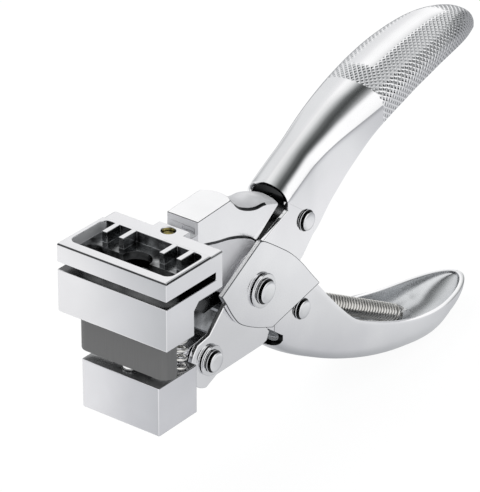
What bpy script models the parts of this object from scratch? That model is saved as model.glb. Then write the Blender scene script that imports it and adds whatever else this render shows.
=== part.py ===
# Hand-held slot punch for hang holes: a plier with a C-shaped die head, a
# slot-shaped punch, a pusher jaw, two channel handles and their springs.
# Frame: +Z is the punch's stroke, +X runs from the head to the handle tips,
# and the origin is the centre of the guide block's front face.

import math

import bpy
import bmesh
from mathutils import Matrix, Vector

mm = 0.001
degree = math.pi / 180

# Clearances
gap = 0.3 * mm            # between two pieces that touch on the real tool
lap = 0.04 * mm           # how far a joined plate stands proud, so that no faces coincide
overrun = 1.0 * mm        # how far a cutter passes the face that it opens

# Slot that the tool punches
slot_length = 31.8 * mm
slot_width = 6.5 * mm
hump_radius = 4.4 * mm
hump_height = 4.5 * mm    # over the slot's back edge
slot_front = 3.8 * mm     # head's front face to the slot's front edge

# Head
pocket_margin = 1.5 * mm  # slot's end to the pocket's end
head_wall = 1.6 * mm      # pocket's end to the head's side
head_depth = 24.7 * mm
guide_height = 13.2 * mm
throat_height = 2.3 * mm
throat_depth = 21.6 * mm
die_height = 5.8 * mm     # from the throat to the die's top face
die_depth = 19.4 * mm     # raised front part of the top face
die_step = 0.4 * mm
guide_depth = 12.2 * mm
web_height = 3.6 * mm     # of the head behind the guide, under the throat
web_slope = 2.0 * mm
pocket_front = 3.2 * mm
pocket_length = 15.4 * mm
pocket_depth = 3.3 * mm
pocket_radius = 2.2 * mm
rib_length = 5.7 * mm
rib_width = 1.8 * mm
rib_inner_place = 7.05 * mm
rib_outer_place = 12.9 * mm

# Tongue that joins the head to the lower handle
tongue_width = 7.6 * mm
stub_width = 10.8 * mm
stub_length = 2.9 * mm    # behind the head, level with its top
groove_width = 3.3 * mm
groove_depth = 2.2 * mm
boss_wall = 2.1 * mm      # of the guide block behind the slot's hump
plug_radius = 1.8 * mm
plug_depth = 5.0 * mm
plug_sunk = 1.0 * mm
cap_length = 36.4 * mm
cap_rise = 1.2 * mm       # of the cap's nose over the die's top face
cap_drop = 9.9 * mm       # from the die's top face to the cap's back edge
cap_side_length = 26.2 * mm
cap_side_drop = 15.2 * mm
cap_slab = 2.2 * mm
cap_wall = 1.3 * mm
hub_width = 11.0 * mm
hub_radius = 11.0 * mm
tail_radius = 7.0 * mm

# Pivot places, from the origin
pivot_x = 55.0 * mm
pivot_z = -14.3 * mm
arm_reach = 21.4 * mm     # pivot to jaw pin, forwards
arm_drop = 13.5 * mm      # pivot to jaw pin, down
upper_rivet_reach = 23.0 * mm  # pivot to the upper handle's small rivet, backwards
upper_rivet_rise = 12.0 * mm
lower_rivet_reach = 21.4 * mm  # pivot to the lower handle's small rivets
lower_rivet_drop = 16.0 * mm

# Sheet metal of both handles
sheet = 1.5 * mm
ear_sheet = 1.5 * mm
handle_reach = 113.0 * mm  # pivot to the tips
flare_reach = 27.0 * mm    # pivot to where the handles start to widen
belly_reach = 72.5 * mm    # pivot to the widest place
belly_width = 23.6 * mm

# Pins, rivets and washers
pivot_pin_radius = 3.3 * mm
pivot_head_radius = 3.9 * mm
pivot_washer_radius = 5.2 * mm
jaw_pin_radius = 2.7 * mm
jaw_head_radius = 3.4 * mm
jaw_washer_radius = 4.6 * mm
washer_thickness = 0.9 * mm
small_shank_radius = 1.9 * mm
small_head_radius = 3.3 * mm
head_dome = 1.3 * mm
spacer_radius = 4.2 * mm
hook_pin_radius = 1.5 * mm
hook_pin_reach = 9.4 * mm
hook_pin_angle = -43.0 * degree

# Jaw that pushes the punch
jaw_width = 27.2 * mm
jaw_length = 16.8 * mm
jaw_height = 15.2 * mm
jaw_setback = 3.1 * mm
jaw_gap = 14.4 * mm       # guide block's underside to the jaw's top
lug_radius = 7.0 * mm
lug_root = 2.0 * mm       # how far the lug's root lies inside the block
arm_radius = 8.5 * mm
button_radius = 2.4 * mm
button_height = 2.1 * mm
button_stem = 1.3 * mm
button_root = 5.0 * mm     # depth of the hole for its stem
button_place = 4.6 * mm   # behind the jaw's front face

# Springs
return_outer_radius = 2.8 * mm
return_wire = 0.9 * mm
return_turns = 9
return_back = 4.0 * mm    # from the jaw's rear face to the spring's centre
return_side = 9.9 * mm
return_seat = 1.2 * mm
pull_outer_radius = 3.0 * mm
pull_wire = 1.1 * mm
pull_turns = 47
pull_reach = 81.5 * mm    # pivot to the coil's rear end
pull_lead = 4.6 * mm       # of the coil's ends, from the hooks' centres
anchor_height = 4.5 * mm   # lower handle's inner floor to the anchor's bar
anchor_radius = 1.1 * mm
anchor_cheek = 1.2 * mm
anchor_length = 6.0 * mm
anchor_foot = 1.2 * mm
curl_points = 8

# Stroke
squeeze = 14.0 * degree

pocket_width = slot_length + 2 * pocket_margin
head_width = pocket_width + 2 * head_wall
guide_top = guide_height / 2
guide_bottom = -guide_height / 2
die_bottom = guide_top + throat_height
die_top = die_bottom + die_height
web_bottom = guide_top - web_height
slot_radius = slot_width / 2
slot_centre = slot_front + slot_radius
jaw_pin_x = pivot_x - arm_reach
jaw_pin_z = pivot_z - arm_drop
jaw_top = guide_bottom - jaw_gap
jaw_bottom = jaw_top - jaw_height
jaw_back = jaw_setback + jaw_length
lever_inner = hub_width / 2 + gap
lever_outer = lever_inner + sheet
ear_inner = lever_outer + gap
ear_outer = ear_inner + ear_sheet
belly_x = pivot_x + belly_reach
tip_x = pivot_x + handle_reach
upper_rivet_x = pivot_x + upper_rivet_reach
upper_rivet_z = pivot_z + upper_rivet_rise
lower_rivet_x = pivot_x + lower_rivet_reach
lower_rivet_z = pivot_z - lower_rivet_drop
flare_x = pivot_x + flare_reach
hook_x = pivot_x + hook_pin_reach * math.cos(hook_pin_angle)
hook_z = pivot_z + hook_pin_reach * math.sin(hook_pin_angle)

for old in list(bpy.data.objects):
    bpy.data.objects.remove(old, do_unlink=True)
for old in list(bpy.data.collections):
    bpy.data.collections.remove(old)

parts = bpy.data.collections.new("slot_punch")
cutters = bpy.data.collections.new("cutters")
bpy.context.scene.collection.children.link(parts)
bpy.context.scene.collection.children.link(cutters)


def metal(name, colour, roughness, metallic=1.0):
    """A plain metal material in one colour."""
    material = bpy.data.materials.new(name)
    material.use_nodes = True
    shader = material.node_tree.nodes["Principled BSDF"]
    shader.inputs["Base Color"].default_value = (*colour, 1)
    shader.inputs["Roughness"].default_value = roughness
    shader.inputs["Metallic"].default_value = metallic
    return material


def keep(obj, material):
    """Put a finished piece in the collection, with a material of its own."""
    parts.objects.link(obj)
    obj.data.materials.clear()
    obj.data.materials.append(material)
    return obj


def as_tool(obj):
    """Put a shape that only cuts or joins in the cutters' collection."""
    cutters.objects.link(obj)
    obj.hide_render = True
    obj.display_type = "WIRE"
    return obj


def boolean(obj, tool, operation):
    """Cut the tool from the object, or join the tool to it."""
    modifier = obj.modifiers.new(operation.lower(), "BOOLEAN")
    modifier.operation = operation
    modifier.solver = "EXACT"
    modifier.object = tool
    return modifier


def mesh_object(name, build):
    """An object whose mesh the function build fills."""
    mesh = bpy.data.meshes.new(name)
    work = bmesh.new()
    build(work)
    bmesh.ops.recalc_face_normals(work, faces=work.faces)
    work.to_mesh(mesh)
    work.free()
    return bpy.data.objects.new(name, mesh)


def flat_outline(name, points, thickness, turn):
    """A closed outline as a 2D curve, thickened both ways and made a mesh."""
    curve = bpy.data.curves.new(name + "_outline", "CURVE")
    curve.dimensions = "2D"
    curve.fill_mode = "BOTH"
    curve.extrude = thickness / 2
    spline = curve.splines.new("POLY")
    spline.points.add(len(points) - 1)
    for point, (across, up) in zip(spline.points, points):
        point.co = (across, up, 0, 1)
    spline.use_cyclic_u = True
    sketch = bpy.data.objects.new(name + "_outline", curve)
    bpy.context.scene.collection.objects.link(sketch)
    bpy.context.view_layer.update()
    graph = bpy.context.evaluated_depsgraph_get()
    mesh = bpy.data.meshes.new_from_object(sketch.evaluated_get(graph))
    mesh.name = name
    bpy.data.objects.remove(sketch)
    work = bmesh.new()
    work.from_mesh(mesh)
    bmesh.ops.remove_doubles(work, verts=work.verts, dist=0.000001)
    bmesh.ops.transform(work, matrix=turn, verts=work.verts)
    bmesh.ops.recalc_face_normals(work, faces=work.faces)
    work.to_mesh(mesh)
    work.free()
    return bpy.data.objects.new(name, mesh)


def side_plate(name, points, thickness, middle_y=0.0):
    """An outline in X and Z, thickened along Y."""
    turn = Matrix.Translation((0, middle_y, 0)) @ Matrix.Rotation(90 * degree, 4, "X")
    return flat_outline(name, points, thickness, turn)


def level_plate(name, points, bottom, top):
    """An outline in X and Y, standing between two heights."""
    turn = Matrix.Translation((0, 0, (bottom + top) / 2))
    return flat_outline(name, points, top - bottom, turn)


def box(name, low, high):
    """A box between two corners."""
    size = Vector(high) - Vector(low)
    middle = (Vector(high) + Vector(low)) / 2
    place = Matrix.Translation(middle) @ Matrix.Diagonal((*size, 1))

    def build(work):
        bmesh.ops.create_cube(work, size=1, matrix=place)
    return mesh_object(name, build)


def rod(name, radius, low_y, high_y, x, z, segments=28):
    """A plain round bar along Y."""
    place = Matrix.Translation((x, (low_y + high_y) / 2, z)) @ Matrix.Rotation(90 * degree, 4, "X")

    def build(work):
        bmesh.ops.create_cone(work, cap_ends=True, segments=segments, radius1=radius,
                              radius2=radius, depth=high_y - low_y, matrix=place)
    return mesh_object(name, build)


def upright(name, radius, bottom, top, x, y, segments=28):
    """A plain round bar along Z."""
    place = Matrix.Translation((x, y, (bottom + top) / 2))

    def build(work):
        bmesh.ops.create_cone(work, cap_ends=True, segments=segments, radius1=radius,
                              radius2=radius, depth=top - bottom, matrix=place)
    return mesh_object(name, build)


def turned(name, profile, place, steps=22):
    """A profile of (radius, height) pairs, from top to bottom, turned about Z."""
    mesh = bpy.data.meshes.new(name)
    work = bmesh.new()
    verts = [work.verts.new((radius, 0, height)) for radius, height in profile]
    for first, second in zip(verts[:-1], verts[1:]):
        work.edges.new((first, second))
    if profile[0][0] > 0:
        work.edges.new((verts[-1], verts[0]))
    work.to_mesh(mesh)
    work.free()
    obj = bpy.data.objects.new(name, mesh)
    screw = obj.modifiers.new("turn", "SCREW")
    screw.axis = "Z"
    screw.steps = steps
    screw.render_steps = steps
    screw.use_merge_vertices = True
    screw.merge_threshold = 0.00001
    obj.matrix_world = place
    return obj


def arc(centre, radius, start, end, count):
    """Points along a round stretch, angles in degrees."""
    turn = (end - start) / count
    angles = [(start + turn * step) * degree for step in range(count + 1)]
    return [(centre[0] + radius * math.cos(a), centre[1] + radius * math.sin(a)) for a in angles]


def smooth(table, place):
    """A smooth curve through a table of (place, value) pairs."""
    if place <= table[0][0]:
        return table[0][1]
    if place >= table[-1][0]:
        return table[-1][1]
    index = max(i for i, row in enumerate(table[:-1]) if row[0] <= place)
    (x0, y0), (x1, y1) = table[index], table[index + 1]

    def slope(i):
        low = table[max(i - 1, 0)]
        high = table[min(i + 1, len(table) - 1)]
        return (high[1] - low[1]) / (high[0] - low[0])

    span = x1 - x0
    t = (place - x0) / span
    start = y0 * (2 * t ** 3 - 3 * t ** 2 + 1) + slope(index) * span * (t ** 3 - 2 * t ** 2 + t)
    end = y1 * (3 * t ** 2 - 2 * t ** 3) + slope(index + 1) * span * (t ** 3 - t ** 2)
    return start + end


# Slot outline and head

def slot_outline(grow):
    """The hang-hole slot with its hump at the back, grown by a clearance."""
    radius = slot_radius + grow
    half = slot_length / 2 - slot_radius
    bump = hump_radius + grow
    bump_x = slot_front + slot_width + hump_height - hump_radius
    edge_x = slot_centre + radius
    reach = math.degrees(math.asin((edge_x - bump_x) / bump))
    near_end = arc((slot_centre, -half), radius, -180, 0, 12)
    hump = arc((bump_x, 0), bump, -90 + reach, 90 - reach, 16)
    far_end = arc((slot_centre, half), radius, 0, 180, 12)
    return near_end + hump + far_end


def pocket_outline():
    """The die's pocket, with four ribs left standing from its back wall."""
    half = pocket_width / 2
    back = pocket_front + pocket_length
    inset = pocket_radius
    points = arc((pocket_front + inset, -half + inset), inset, 180, 270, 5)
    points += arc((back - inset, -half + inset), inset, 270, 360, 5)
    places = (-rib_outer_place, -rib_inner_place, rib_inner_place, rib_outer_place)
    for place in places:
        low = place - rib_width / 2
        high = place + rib_width / 2
        points += [(back, low), (back - rib_length, low), (back - rib_length, high), (back, high)]
    points += arc((back - inset, half - inset), inset, 0, 90, 5)
    points += arc((pocket_front + inset, half - inset), inset, 90, 180, 5)
    return points


def cap_top():
    """Top line of the neck: flat nose, then the saddle that the crown clears."""
    nose_x = head_depth + stub_length + groove_width
    table_shares = [(0, 0), (0.39, 0.08), (0.42, 0.0), (0.51, -0.36), (0.63, -0.59),
                    (0.73, -0.70), (0.83, -0.70), (1.0, -0.92)]
    return [(nose_x + across * cap_length, die_top + cap_rise + up * cap_drop)
            for across, up in table_shares]


def cap_arch():
    """Lower line of the neck's side walls, from the back to the nose."""
    nose_x = head_depth + stub_length + groove_width
    table_shares = [(1.0, 1.0), (0.93, 0.90), (0.82, 0.79), (0.69, 0.69), (0.53, 0.605),
                    (0.33, 0.53), (0.13, 0.44), (0, 0.39)]
    return [(nose_x + across * cap_side_length, die_top - down * cap_side_drop)
            for across, down in table_shares]


def head_casting():
    """Die, throat, guide block, tongue, hub and tail in one casting."""
    top = die_top
    low_top = die_top - die_step
    profile = [(0, guide_bottom), (guide_depth, guide_bottom),
               (guide_depth, web_bottom - web_slope), (guide_depth + web_slope, web_bottom),
               (head_depth, web_bottom), (head_depth, low_top), (die_depth, low_top),
               (die_depth, top), (0, top), (0, die_bottom), (throat_depth, die_bottom),
               (throat_depth, guide_top), (0, guide_top)]
    head = side_plate("head_casting", profile, head_width)

    boss_back = slot_front + slot_width + hump_height + boss_wall
    boss_radius = hump_radius + boss_wall
    round_part = arc((boss_back - boss_radius, 0), boss_radius, -90, 90, 14)
    boss_points = [(slot_centre, -boss_radius)] + round_part + [(slot_centre, boss_radius)]
    boss = as_tool(level_plate("boss_shape", boss_points, guide_bottom + gap, web_bottom + gap))
    boolean(head, boss, "UNION")

    stub_end = head_depth + stub_length
    groove_end = stub_end + groove_width - gap
    stub_points = [(throat_depth + gap, low_top), (stub_end, low_top),
                   (stub_end, low_top - groove_depth), (groove_end, low_top - groove_depth),
                   (groove_end, web_bottom + gap), (throat_depth + gap, web_bottom + gap)]
    stub = as_tool(side_plate("stub_shape", stub_points, stub_width))
    boolean(head, stub, "UNION")

    core_top = [(x, z - cap_slab - gap) for x, z in cap_top()[:-1]]
    nose_x = core_top[0][0]
    floor = low_top - groove_depth - gap
    core_points = [(throat_depth + 2 * gap, web_bottom + overrun), (throat_depth + 2 * gap, floor)]
    core_points += [(nose_x + gap, floor), (nose_x + gap, core_top[0][1])]
    core_points += core_top[1:]
    core_points += [(pivot_x + hub_radius / 2, pivot_z), (pivot_x - hub_radius / 2, pivot_z)]
    lower_shares = [(0.70, 0.78), (0.40, 0.25), (0.0, 0.0)]
    start_x = boss_back - boss_wall / 2
    start_z = guide_bottom + overrun
    run = pivot_x - hub_radius - start_x
    fall = start_z - pivot_z + hub_radius / 3
    core_points += [(start_x + across * run, start_z - down * fall) for across, down in lower_shares]
    core_points += [(start_x, web_bottom + overrun)]
    core = as_tool(side_plate("tongue_shape", core_points, tongue_width))
    boolean(head, core, "UNION")

    fall_angle = math.degrees(math.atan2(-lower_rivet_drop, lower_rivet_reach))
    hub_points = arc((pivot_x, pivot_z), hub_radius, fall_angle + 110, fall_angle + 250, 16)
    tail_centre = (lower_rivet_x, lower_rivet_z)
    hub_points += arc(tail_centre, tail_radius, fall_angle - 90, fall_angle + 90, 10)
    hub = as_tool(side_plate("hub_shape", hub_points, hub_width))
    boolean(head, hub, "UNION")

    pocket_floor = die_top - pocket_depth
    pocket = as_tool(level_plate("pocket_cut", pocket_outline(), pocket_floor, die_top + overrun))
    boolean(head, pocket, "DIFFERENCE")
    die_hole = as_tool(level_plate("die_hole_cut", slot_outline(gap), guide_bottom - overrun,
                                   pocket_floor + overrun))
    boolean(head, die_hole, "DIFFERENCE")

    plug = as_tool(upright("plug_cut", plug_radius + gap, die_top - plug_depth,
                           die_top + overrun, head_depth, 0))
    boolean(head, plug, "DIFFERENCE")

    pivot_hole = as_tool(rod("pivot_hole_cut", pivot_pin_radius + gap, -hub_width, hub_width,
                             pivot_x, pivot_z))
    boolean(head, pivot_hole, "DIFFERENCE")
    rivet_hole = as_tool(rod("tail_hole_cut", small_shank_radius + gap, -hub_width, hub_width,
                             lower_rivet_x, lower_rivet_z))
    boolean(head, rivet_hole, "DIFFERENCE")

    swing = math.degrees(squeeze)
    start = math.degrees(hook_pin_angle)
    slot_half = hook_pin_radius + gap
    outer = arc((pivot_x, pivot_z), hook_pin_reach + slot_half, start - swing, start, 5)
    end_cap = arc((hook_x, hook_z), slot_half, start, start + 180, 8)[1:-1]
    inner = arc((pivot_x, pivot_z), hook_pin_reach - slot_half, start, start - swing, 5)
    other_x = pivot_x + hook_pin_reach * math.cos(hook_pin_angle - squeeze)
    other_z = pivot_z + hook_pin_reach * math.sin(hook_pin_angle - squeeze)
    start_cap = arc((other_x, other_z), slot_half, start - swing + 180, start - swing + 360, 8)
    kidney = as_tool(side_plate("hook_slot_cut", outer + end_cap + inner + start_cap[1:-1],
                                2 * hub_width))
    boolean(head, kidney, "DIFFERENCE")

    pull_end = pull_anchor()
    spring_room = pull_outer_radius + gap
    along = (pull_end - Vector((hook_x, 0, hook_z))).normalized()
    across = Vector((-along.z, 0, along.x))
    back = Vector((hook_x, 0, hook_z)) + along * (lower_rivet_reach + 2 * tail_radius)
    front = Vector((hook_x, 0, hook_z)) - along * spring_room
    corners = [front + across * spring_room, front - across * spring_room,
               back - across * spring_room, back + across * spring_room]
    channel = as_tool(side_plate("spring_channel_cut", [(c.x, c.z) for c in corners],
                                 2 * spring_room))
    boolean(head, channel, "DIFFERENCE")

    for side in (-1, 1):
        seat = as_tool(upright("return_top_seat_cut_" + str(side), return_outer_radius + gap,
                               web_bottom - overrun, web_bottom + return_seat,
                               jaw_back - return_back, side * return_side))
        boolean(head, seat, "DIFFERENCE")
    return keep(head, metal("head_chrome", (0.80, 0.81, 0.82), 0.12))


def die_plug():
    """Brass plug at the bottom of the small hole behind the die."""
    plug = upright("die_plug", plug_radius, die_top - plug_depth + gap,
                   die_top - die_step - plug_sunk, head_depth, 0, 20)
    return keep(plug, metal("plug_brass", (0.42, 0.36, 0.16), 0.35))


def neck_cap():
    """Folded steel saddle over the tongue, with an arched lower edge."""
    side = cap_top() + cap_arch()
    cap = side_plate("neck_cap", side, stub_width)
    top = cap_top()
    front = (top[0][0] - overrun, top[0][1] - cap_slab)
    room = [front] + [(x, z - cap_slab) for x, z in top]
    room += [(top[-1][0] + overrun, top[-1][1] - cap_slab), (top[-1][0] + overrun, pivot_z)]
    room += [(top[0][0] - overrun, pivot_z)]
    inside = as_tool(side_plate("neck_room_cut", room, stub_width - 2 * cap_wall))
    boolean(cap, inside, "DIFFERENCE")
    return keep(cap, metal("cap_chrome", (0.84, 0.84, 0.86), 0.10))


# Punch, jaw and button

def punch():
    """Hardened punch whose section is the slot."""
    bottom = jaw_top + button_height + gap
    blade = level_plate("punch", slot_outline(0), bottom, guide_top - gap)
    return keep(blade, metal("punch_steel", (0.16, 0.16, 0.16), 0.5))


def jaw_block():
    """Pusher jaw with a lug between the lever arms."""
    half = jaw_width / 2
    block = box("jaw_block", (jaw_setback, -half, jaw_bottom), (jaw_back, half, jaw_top))
    lug_points = [(jaw_back - lug_root, jaw_bottom + lug_root), (jaw_back - lug_root, jaw_top - lug_root)]
    lug_points += arc((jaw_pin_x, jaw_pin_z), lug_radius, 95, -95, 18)
    lug = as_tool(side_plate("jaw_lug_shape", lug_points, hub_width))
    boolean(block, lug, "UNION")
    hole = as_tool(rod("jaw_hole_cut", jaw_pin_radius + gap, -hub_width, hub_width,
                       jaw_pin_x, jaw_pin_z))
    boolean(block, hole, "DIFFERENCE")
    socket = as_tool(upright("button_hole_cut", button_stem + gap, jaw_top - button_root,
                             jaw_top + overrun, jaw_setback + button_place, 0))
    boolean(block, socket, "DIFFERENCE")
    for side in (-1, 1):
        seat = as_tool(upright("return_seat_cut_" + str(side), return_outer_radius + gap,
                               jaw_top - return_seat, jaw_top + overrun,
                               jaw_back - return_back, side * return_side))
        boolean(block, seat, "DIFFERENCE")
    return keep(block, metal("jaw_chrome", (0.78, 0.79, 0.80), 0.14))


def pressure_button():
    """Domed stud on the jaw that lifts the punch."""
    flat = 0.35 * button_height
    rise = button_height - flat
    dome = [(button_radius * math.sin(a * degree), flat + rise * math.cos(a * degree))
            for a in range(0, 91, 15)]
    profile = dome + [(button_radius, gap), (button_stem, gap), (button_stem, gap - button_root),
                      (0, gap - button_root)]
    profile = [(radius, height) for radius, height in profile]
    place = Matrix.Translation((jaw_setback + button_place, 0, jaw_top))
    stud = turned("pressure_button", profile, place, 24)
    return keep(stud, metal("button_steel", (0.62, 0.62, 0.62), 0.15))


# Handles

belly_shares = [(0, 0), (0.10, 0.08), (0.22, 0.32), (0.40, 0.60), (0.60, 0.83), (0.80, 0.96),
                (1.0, 1.0)]


def half_width(x):
    """Half the handles' width: parallel, then swelling, then an ellipse to the tip."""
    if x <= flare_x:
        return lever_outer
    if x <= belly_x:
        share = smooth(belly_shares, (x - flare_x) / (belly_x - flare_x))
        return lever_outer + share * (belly_width / 2 - lever_outer)
    share = min((x - belly_x) / (tip_x - belly_x), 1)
    return belly_width / 2 * math.sqrt(1 - share ** 2)


def stations(start):
    """Places along a handle, closer together towards the round tip."""
    straight = [start + (flare_x - start) * step / 3 for step in range(3)]
    swelling = [flare_x + (belly_x - flare_x) * step / 8 for step in range(8)]
    tip = [belly_x + (tip_x - belly_x) * math.sin(angle * degree) for angle in range(0, 91, 10)]
    return straight + swelling + tip


def channel_shell(name, start, crown, depth, corner, side):
    """An open channel with round corners, closed round its tip, thickened inwards."""
    def build(work):
        rows = []
        for x in stations(start):
            half = half_width(x)
            radius = min(corner(x), half * 0.75, depth(x) * 0.85)
            high = crown(x)
            low = high - side * depth(x)
            flat = max(half - radius, 0)
            row = [(-half, low), (-half, (low + high - side * radius) / 2)]
            for angle in (0, 22.5, 45, 67.5, 90):
                y = -flat - radius * math.cos(angle * degree)
                z = high - side * radius * (1 - math.sin(angle * degree))
                row.append((y, z))
            bulge = radius * 0.12
            row.append((-flat / 2, high + side * bulge * 0.8))
            middle = (0, high + side * bulge)
            row += [middle] + [(-y, z) for y, z in reversed(row)]
            rows.append([work.verts.new((x, y, z)) for y, z in row])
        for first, second in zip(rows[:-1], rows[1:]):
            for index in range(len(first) - 1):
                work.faces.new((first[index], first[index + 1], second[index + 1], second[index]))
        bmesh.ops.remove_doubles(work, verts=work.verts, dist=0.00002)
        bmesh.ops.recalc_face_normals(work, faces=work.faces)
        outward = sum((face.normal.z * side * face.calc_area() for face in work.faces), 0.0)
        if outward < 0:
            bmesh.ops.reverse_faces(work, faces=work.faces)

    mesh = bpy.data.meshes.new(name)
    work = bmesh.new()
    build(work)
    work.to_mesh(mesh)
    work.free()
    shell = bpy.data.objects.new(name, mesh)
    solid = shell.modifiers.new("sheet", "SOLIDIFY")
    solid.thickness = sheet
    solid.offset = -1
    solid.use_even_offset = True
    solid.use_quality_normals = True
    return shell


upper_mouth_reach = 14.5 * mm     # pivot to the upper handle's mouth
upper_mouth_rise = 24.4 * mm      # pivot to its crown there
upper_rise = 23.6 * mm            # from the mouth to the crown's highest place
upper_depth = 24.8 * mm           # of the channel where it starts to swell
upper_corner = 4.6 * mm
upper_crown_shares = [(0, 0), (0.12, 0.27), (0.248, 0.504), (0.4325, 0.733), (0.60, 0.90),
                      (0.78, 1.0), (0.894, 0.975), (0.962, 0.87), (1.0, 0.68)]
upper_depth_shares = [(0, 0.45), (0.06, 0.70), (0.118, 1.0), (0.203, 0.80), (0.282, 0.60),
                      (0.38, 0.42), (0.52, 0.33), (0.68, 0.285), (0.86, 0.27), (1.0, 0.14)]


def upper_crown(x):
    """Height of the upper handle's crown."""
    start = pivot_x + upper_mouth_reach
    share = smooth(upper_crown_shares, (x - start) / (tip_x - start))
    return pivot_z + upper_mouth_rise + share * upper_rise


def upper_flank(x):
    """Depth of the upper handle's flanks."""
    start = pivot_x + upper_mouth_reach
    return upper_depth * smooth(upper_depth_shares, (x - start) / (tip_x - start))


def lever_outline():
    """The upper handle's flank from its mouth round the pivot to the jaw pin."""
    pin = (jaw_pin_x, jaw_pin_z)
    front = [(pivot_x + across * arm_reach, pivot_z + up * arm_reach)
             for across, up in lever_front_shares]
    under = [(pivot_x + across * arm_reach, pivot_z + up * arm_reach)
             for across, up in lever_under_shares]
    round_pivot = arc((pivot_x, pivot_z), lever_heel_radius, -74, -20, 8)
    low_end = upper_crown(flare_x) - upper_flank(flare_x)
    points = arc(pin, arm_radius, 260, 128, 14)
    points += front
    points += [(flare_x, pivot_z + 0.5 * upper_mouth_rise), (flare_x, low_end)]
    points += [(upper_rivet_x - small_shank_radius / 2, low_end - sheet * 3.4)]
    points += list(reversed(round_pivot))
    points += under
    return points


lever_heel_radius = 14.3 * mm
lever_front_shares = [(-1.00, -0.27), (-0.66, 0.05), (-0.25, 0.40), (0.16, 0.635), (0.62, 0.835),
                      (0.675, 0.86), (0.70, 0.90), (0.70, 0.98)]
lever_under_shares = [(0.29, -0.78), (0.235, -0.90), (0.12, -0.925), (-0.85, -0.93)]


def upper_handle():
    """Upper channel handle, whose flanks run on as the arms that carry the jaw."""
    shell = channel_shell("upper_handle", pivot_x + upper_mouth_reach, upper_crown, upper_flank,
                          lambda x: upper_corner, 1)
    middle = (lever_inner + lever_outer) / 2
    for side in (-1, 1):
        arm = as_tool(side_plate("arm_shape_" + str(side), lever_outline(), sheet + 2 * lap, side * middle))
        boolean(shell, arm, "UNION")
    reach = 2 * ear_outer
    for name, radius, x, z in (("lever_pivot_cut", pivot_pin_radius, pivot_x, pivot_z),
                               ("lever_jaw_cut", jaw_pin_radius, jaw_pin_x, jaw_pin_z),
                               ("lever_hook_cut", hook_pin_radius, hook_x, hook_z),
                               ("lever_rivet_cut", small_shank_radius, upper_rivet_x, upper_rivet_z)):
        boolean(shell, as_tool(rod(name, radius + gap, -reach, reach, x, z)), "DIFFERENCE")
    return keep(shell, metal("upper_chrome", (0.80, 0.80, 0.81), 0.10))


lower_front_reach = 8.4 * mm       # pivot to the lower handle's front edge
lower_floor_drop = 22.6 * mm       # pivot to its floor there
lower_fall = 31.2 * mm             # from there to the floor's lowest place
joggle_drop = 14.1 * mm            # pivot to the joggle line's front end
joggle_rise = 5.3 * mm             # of the joggle line to its back end
rim_fall = 36.4 * mm               # from the joggle's back end to the rim's lowest place
channel_corner = 3.6 * mm
spoon_corner = 8.0 * mm
notch_radius = 2.2 * mm
notch_back = 1.9 * mm              # of each bend notch's centre behind the front edge
notch_rise = 0.6 * mm              # and over the floor's underside
lower_floor_shares = [(0, 0), (0.09, 0.24), (0.222, 0.49), (0.322, 0.64), (0.453, 0.79),
                      (0.587, 0.90), (0.744, 0.985), (0.86, 0.945), (0.95, 0.85), (1.0, 0.78)]
lower_rim_shares = [(0, 0), (0.065, 0.19), (0.135, 0.385), (0.205, 0.55), (0.28, 0.65),
                    (0.44, 0.81), (0.575, 0.91), (0.73, 0.98), (0.87, 1.0), (1.0, 1.0)]


def lower_floor(x):
    """Height of the lower handle's outer floor."""
    start = pivot_x + lower_front_reach
    share = smooth(lower_floor_shares, (x - start) / (tip_x - start))
    return pivot_z - lower_floor_drop - share * lower_fall


def lower_rim(x):
    """Height of the lower handle's rim, along the joggle and then in a long curve."""
    start = pivot_x + lower_front_reach
    back_z = pivot_z - joggle_drop + joggle_rise
    if x <= flare_x:
        return back_z - joggle_rise * (flare_x - x) / (flare_x - start)
    share = smooth(lower_rim_shares, (x - flare_x) / (tip_x - flare_x))
    return back_z - share * rim_fall


def lower_corner(x):
    """Corner radius of the lower handle, which grows into a spoon at its tip."""
    share = max(0, (x - belly_x + flare_reach) / (tip_x - belly_x + flare_reach))
    return channel_corner + share * (spoon_corner - channel_corner)


def lower_depth(x):
    """Depth of the lower handle's channel."""
    return lower_rim(x) - lower_floor(x)


ear_size = 27.0 * mm               # pivot to the ear's back corner
ear_shares = [(-0.67, 0.20), (-0.02, 0.575), (0.07, 0.54), (0.32, 0.365), (0.52, 0.21),
              (0.70, 0.03), (0.86, -0.16), (0.98, -0.33)]
ear_heel_shares = [(-0.04, -0.44), (-0.22, -0.345), (-0.38, -0.235), (-0.50, -0.08), (-0.60, 0.09)]


def ear_outline():
    """The outer cheek of the lower handle round the pivot."""
    start = pivot_x + lower_front_reach
    points = [(pivot_x + across * ear_size, pivot_z + up * ear_size) for across, up in ear_shares]
    points[-1] = (flare_x, lower_rim(flare_x))
    points += [(flare_x, lower_rim(flare_x) - sheet), (start, lower_rim(start) - sheet)]
    points += [(pivot_x + across * ear_size, pivot_z + up * ear_size)
               for across, up in ear_heel_shares]
    return points


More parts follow.
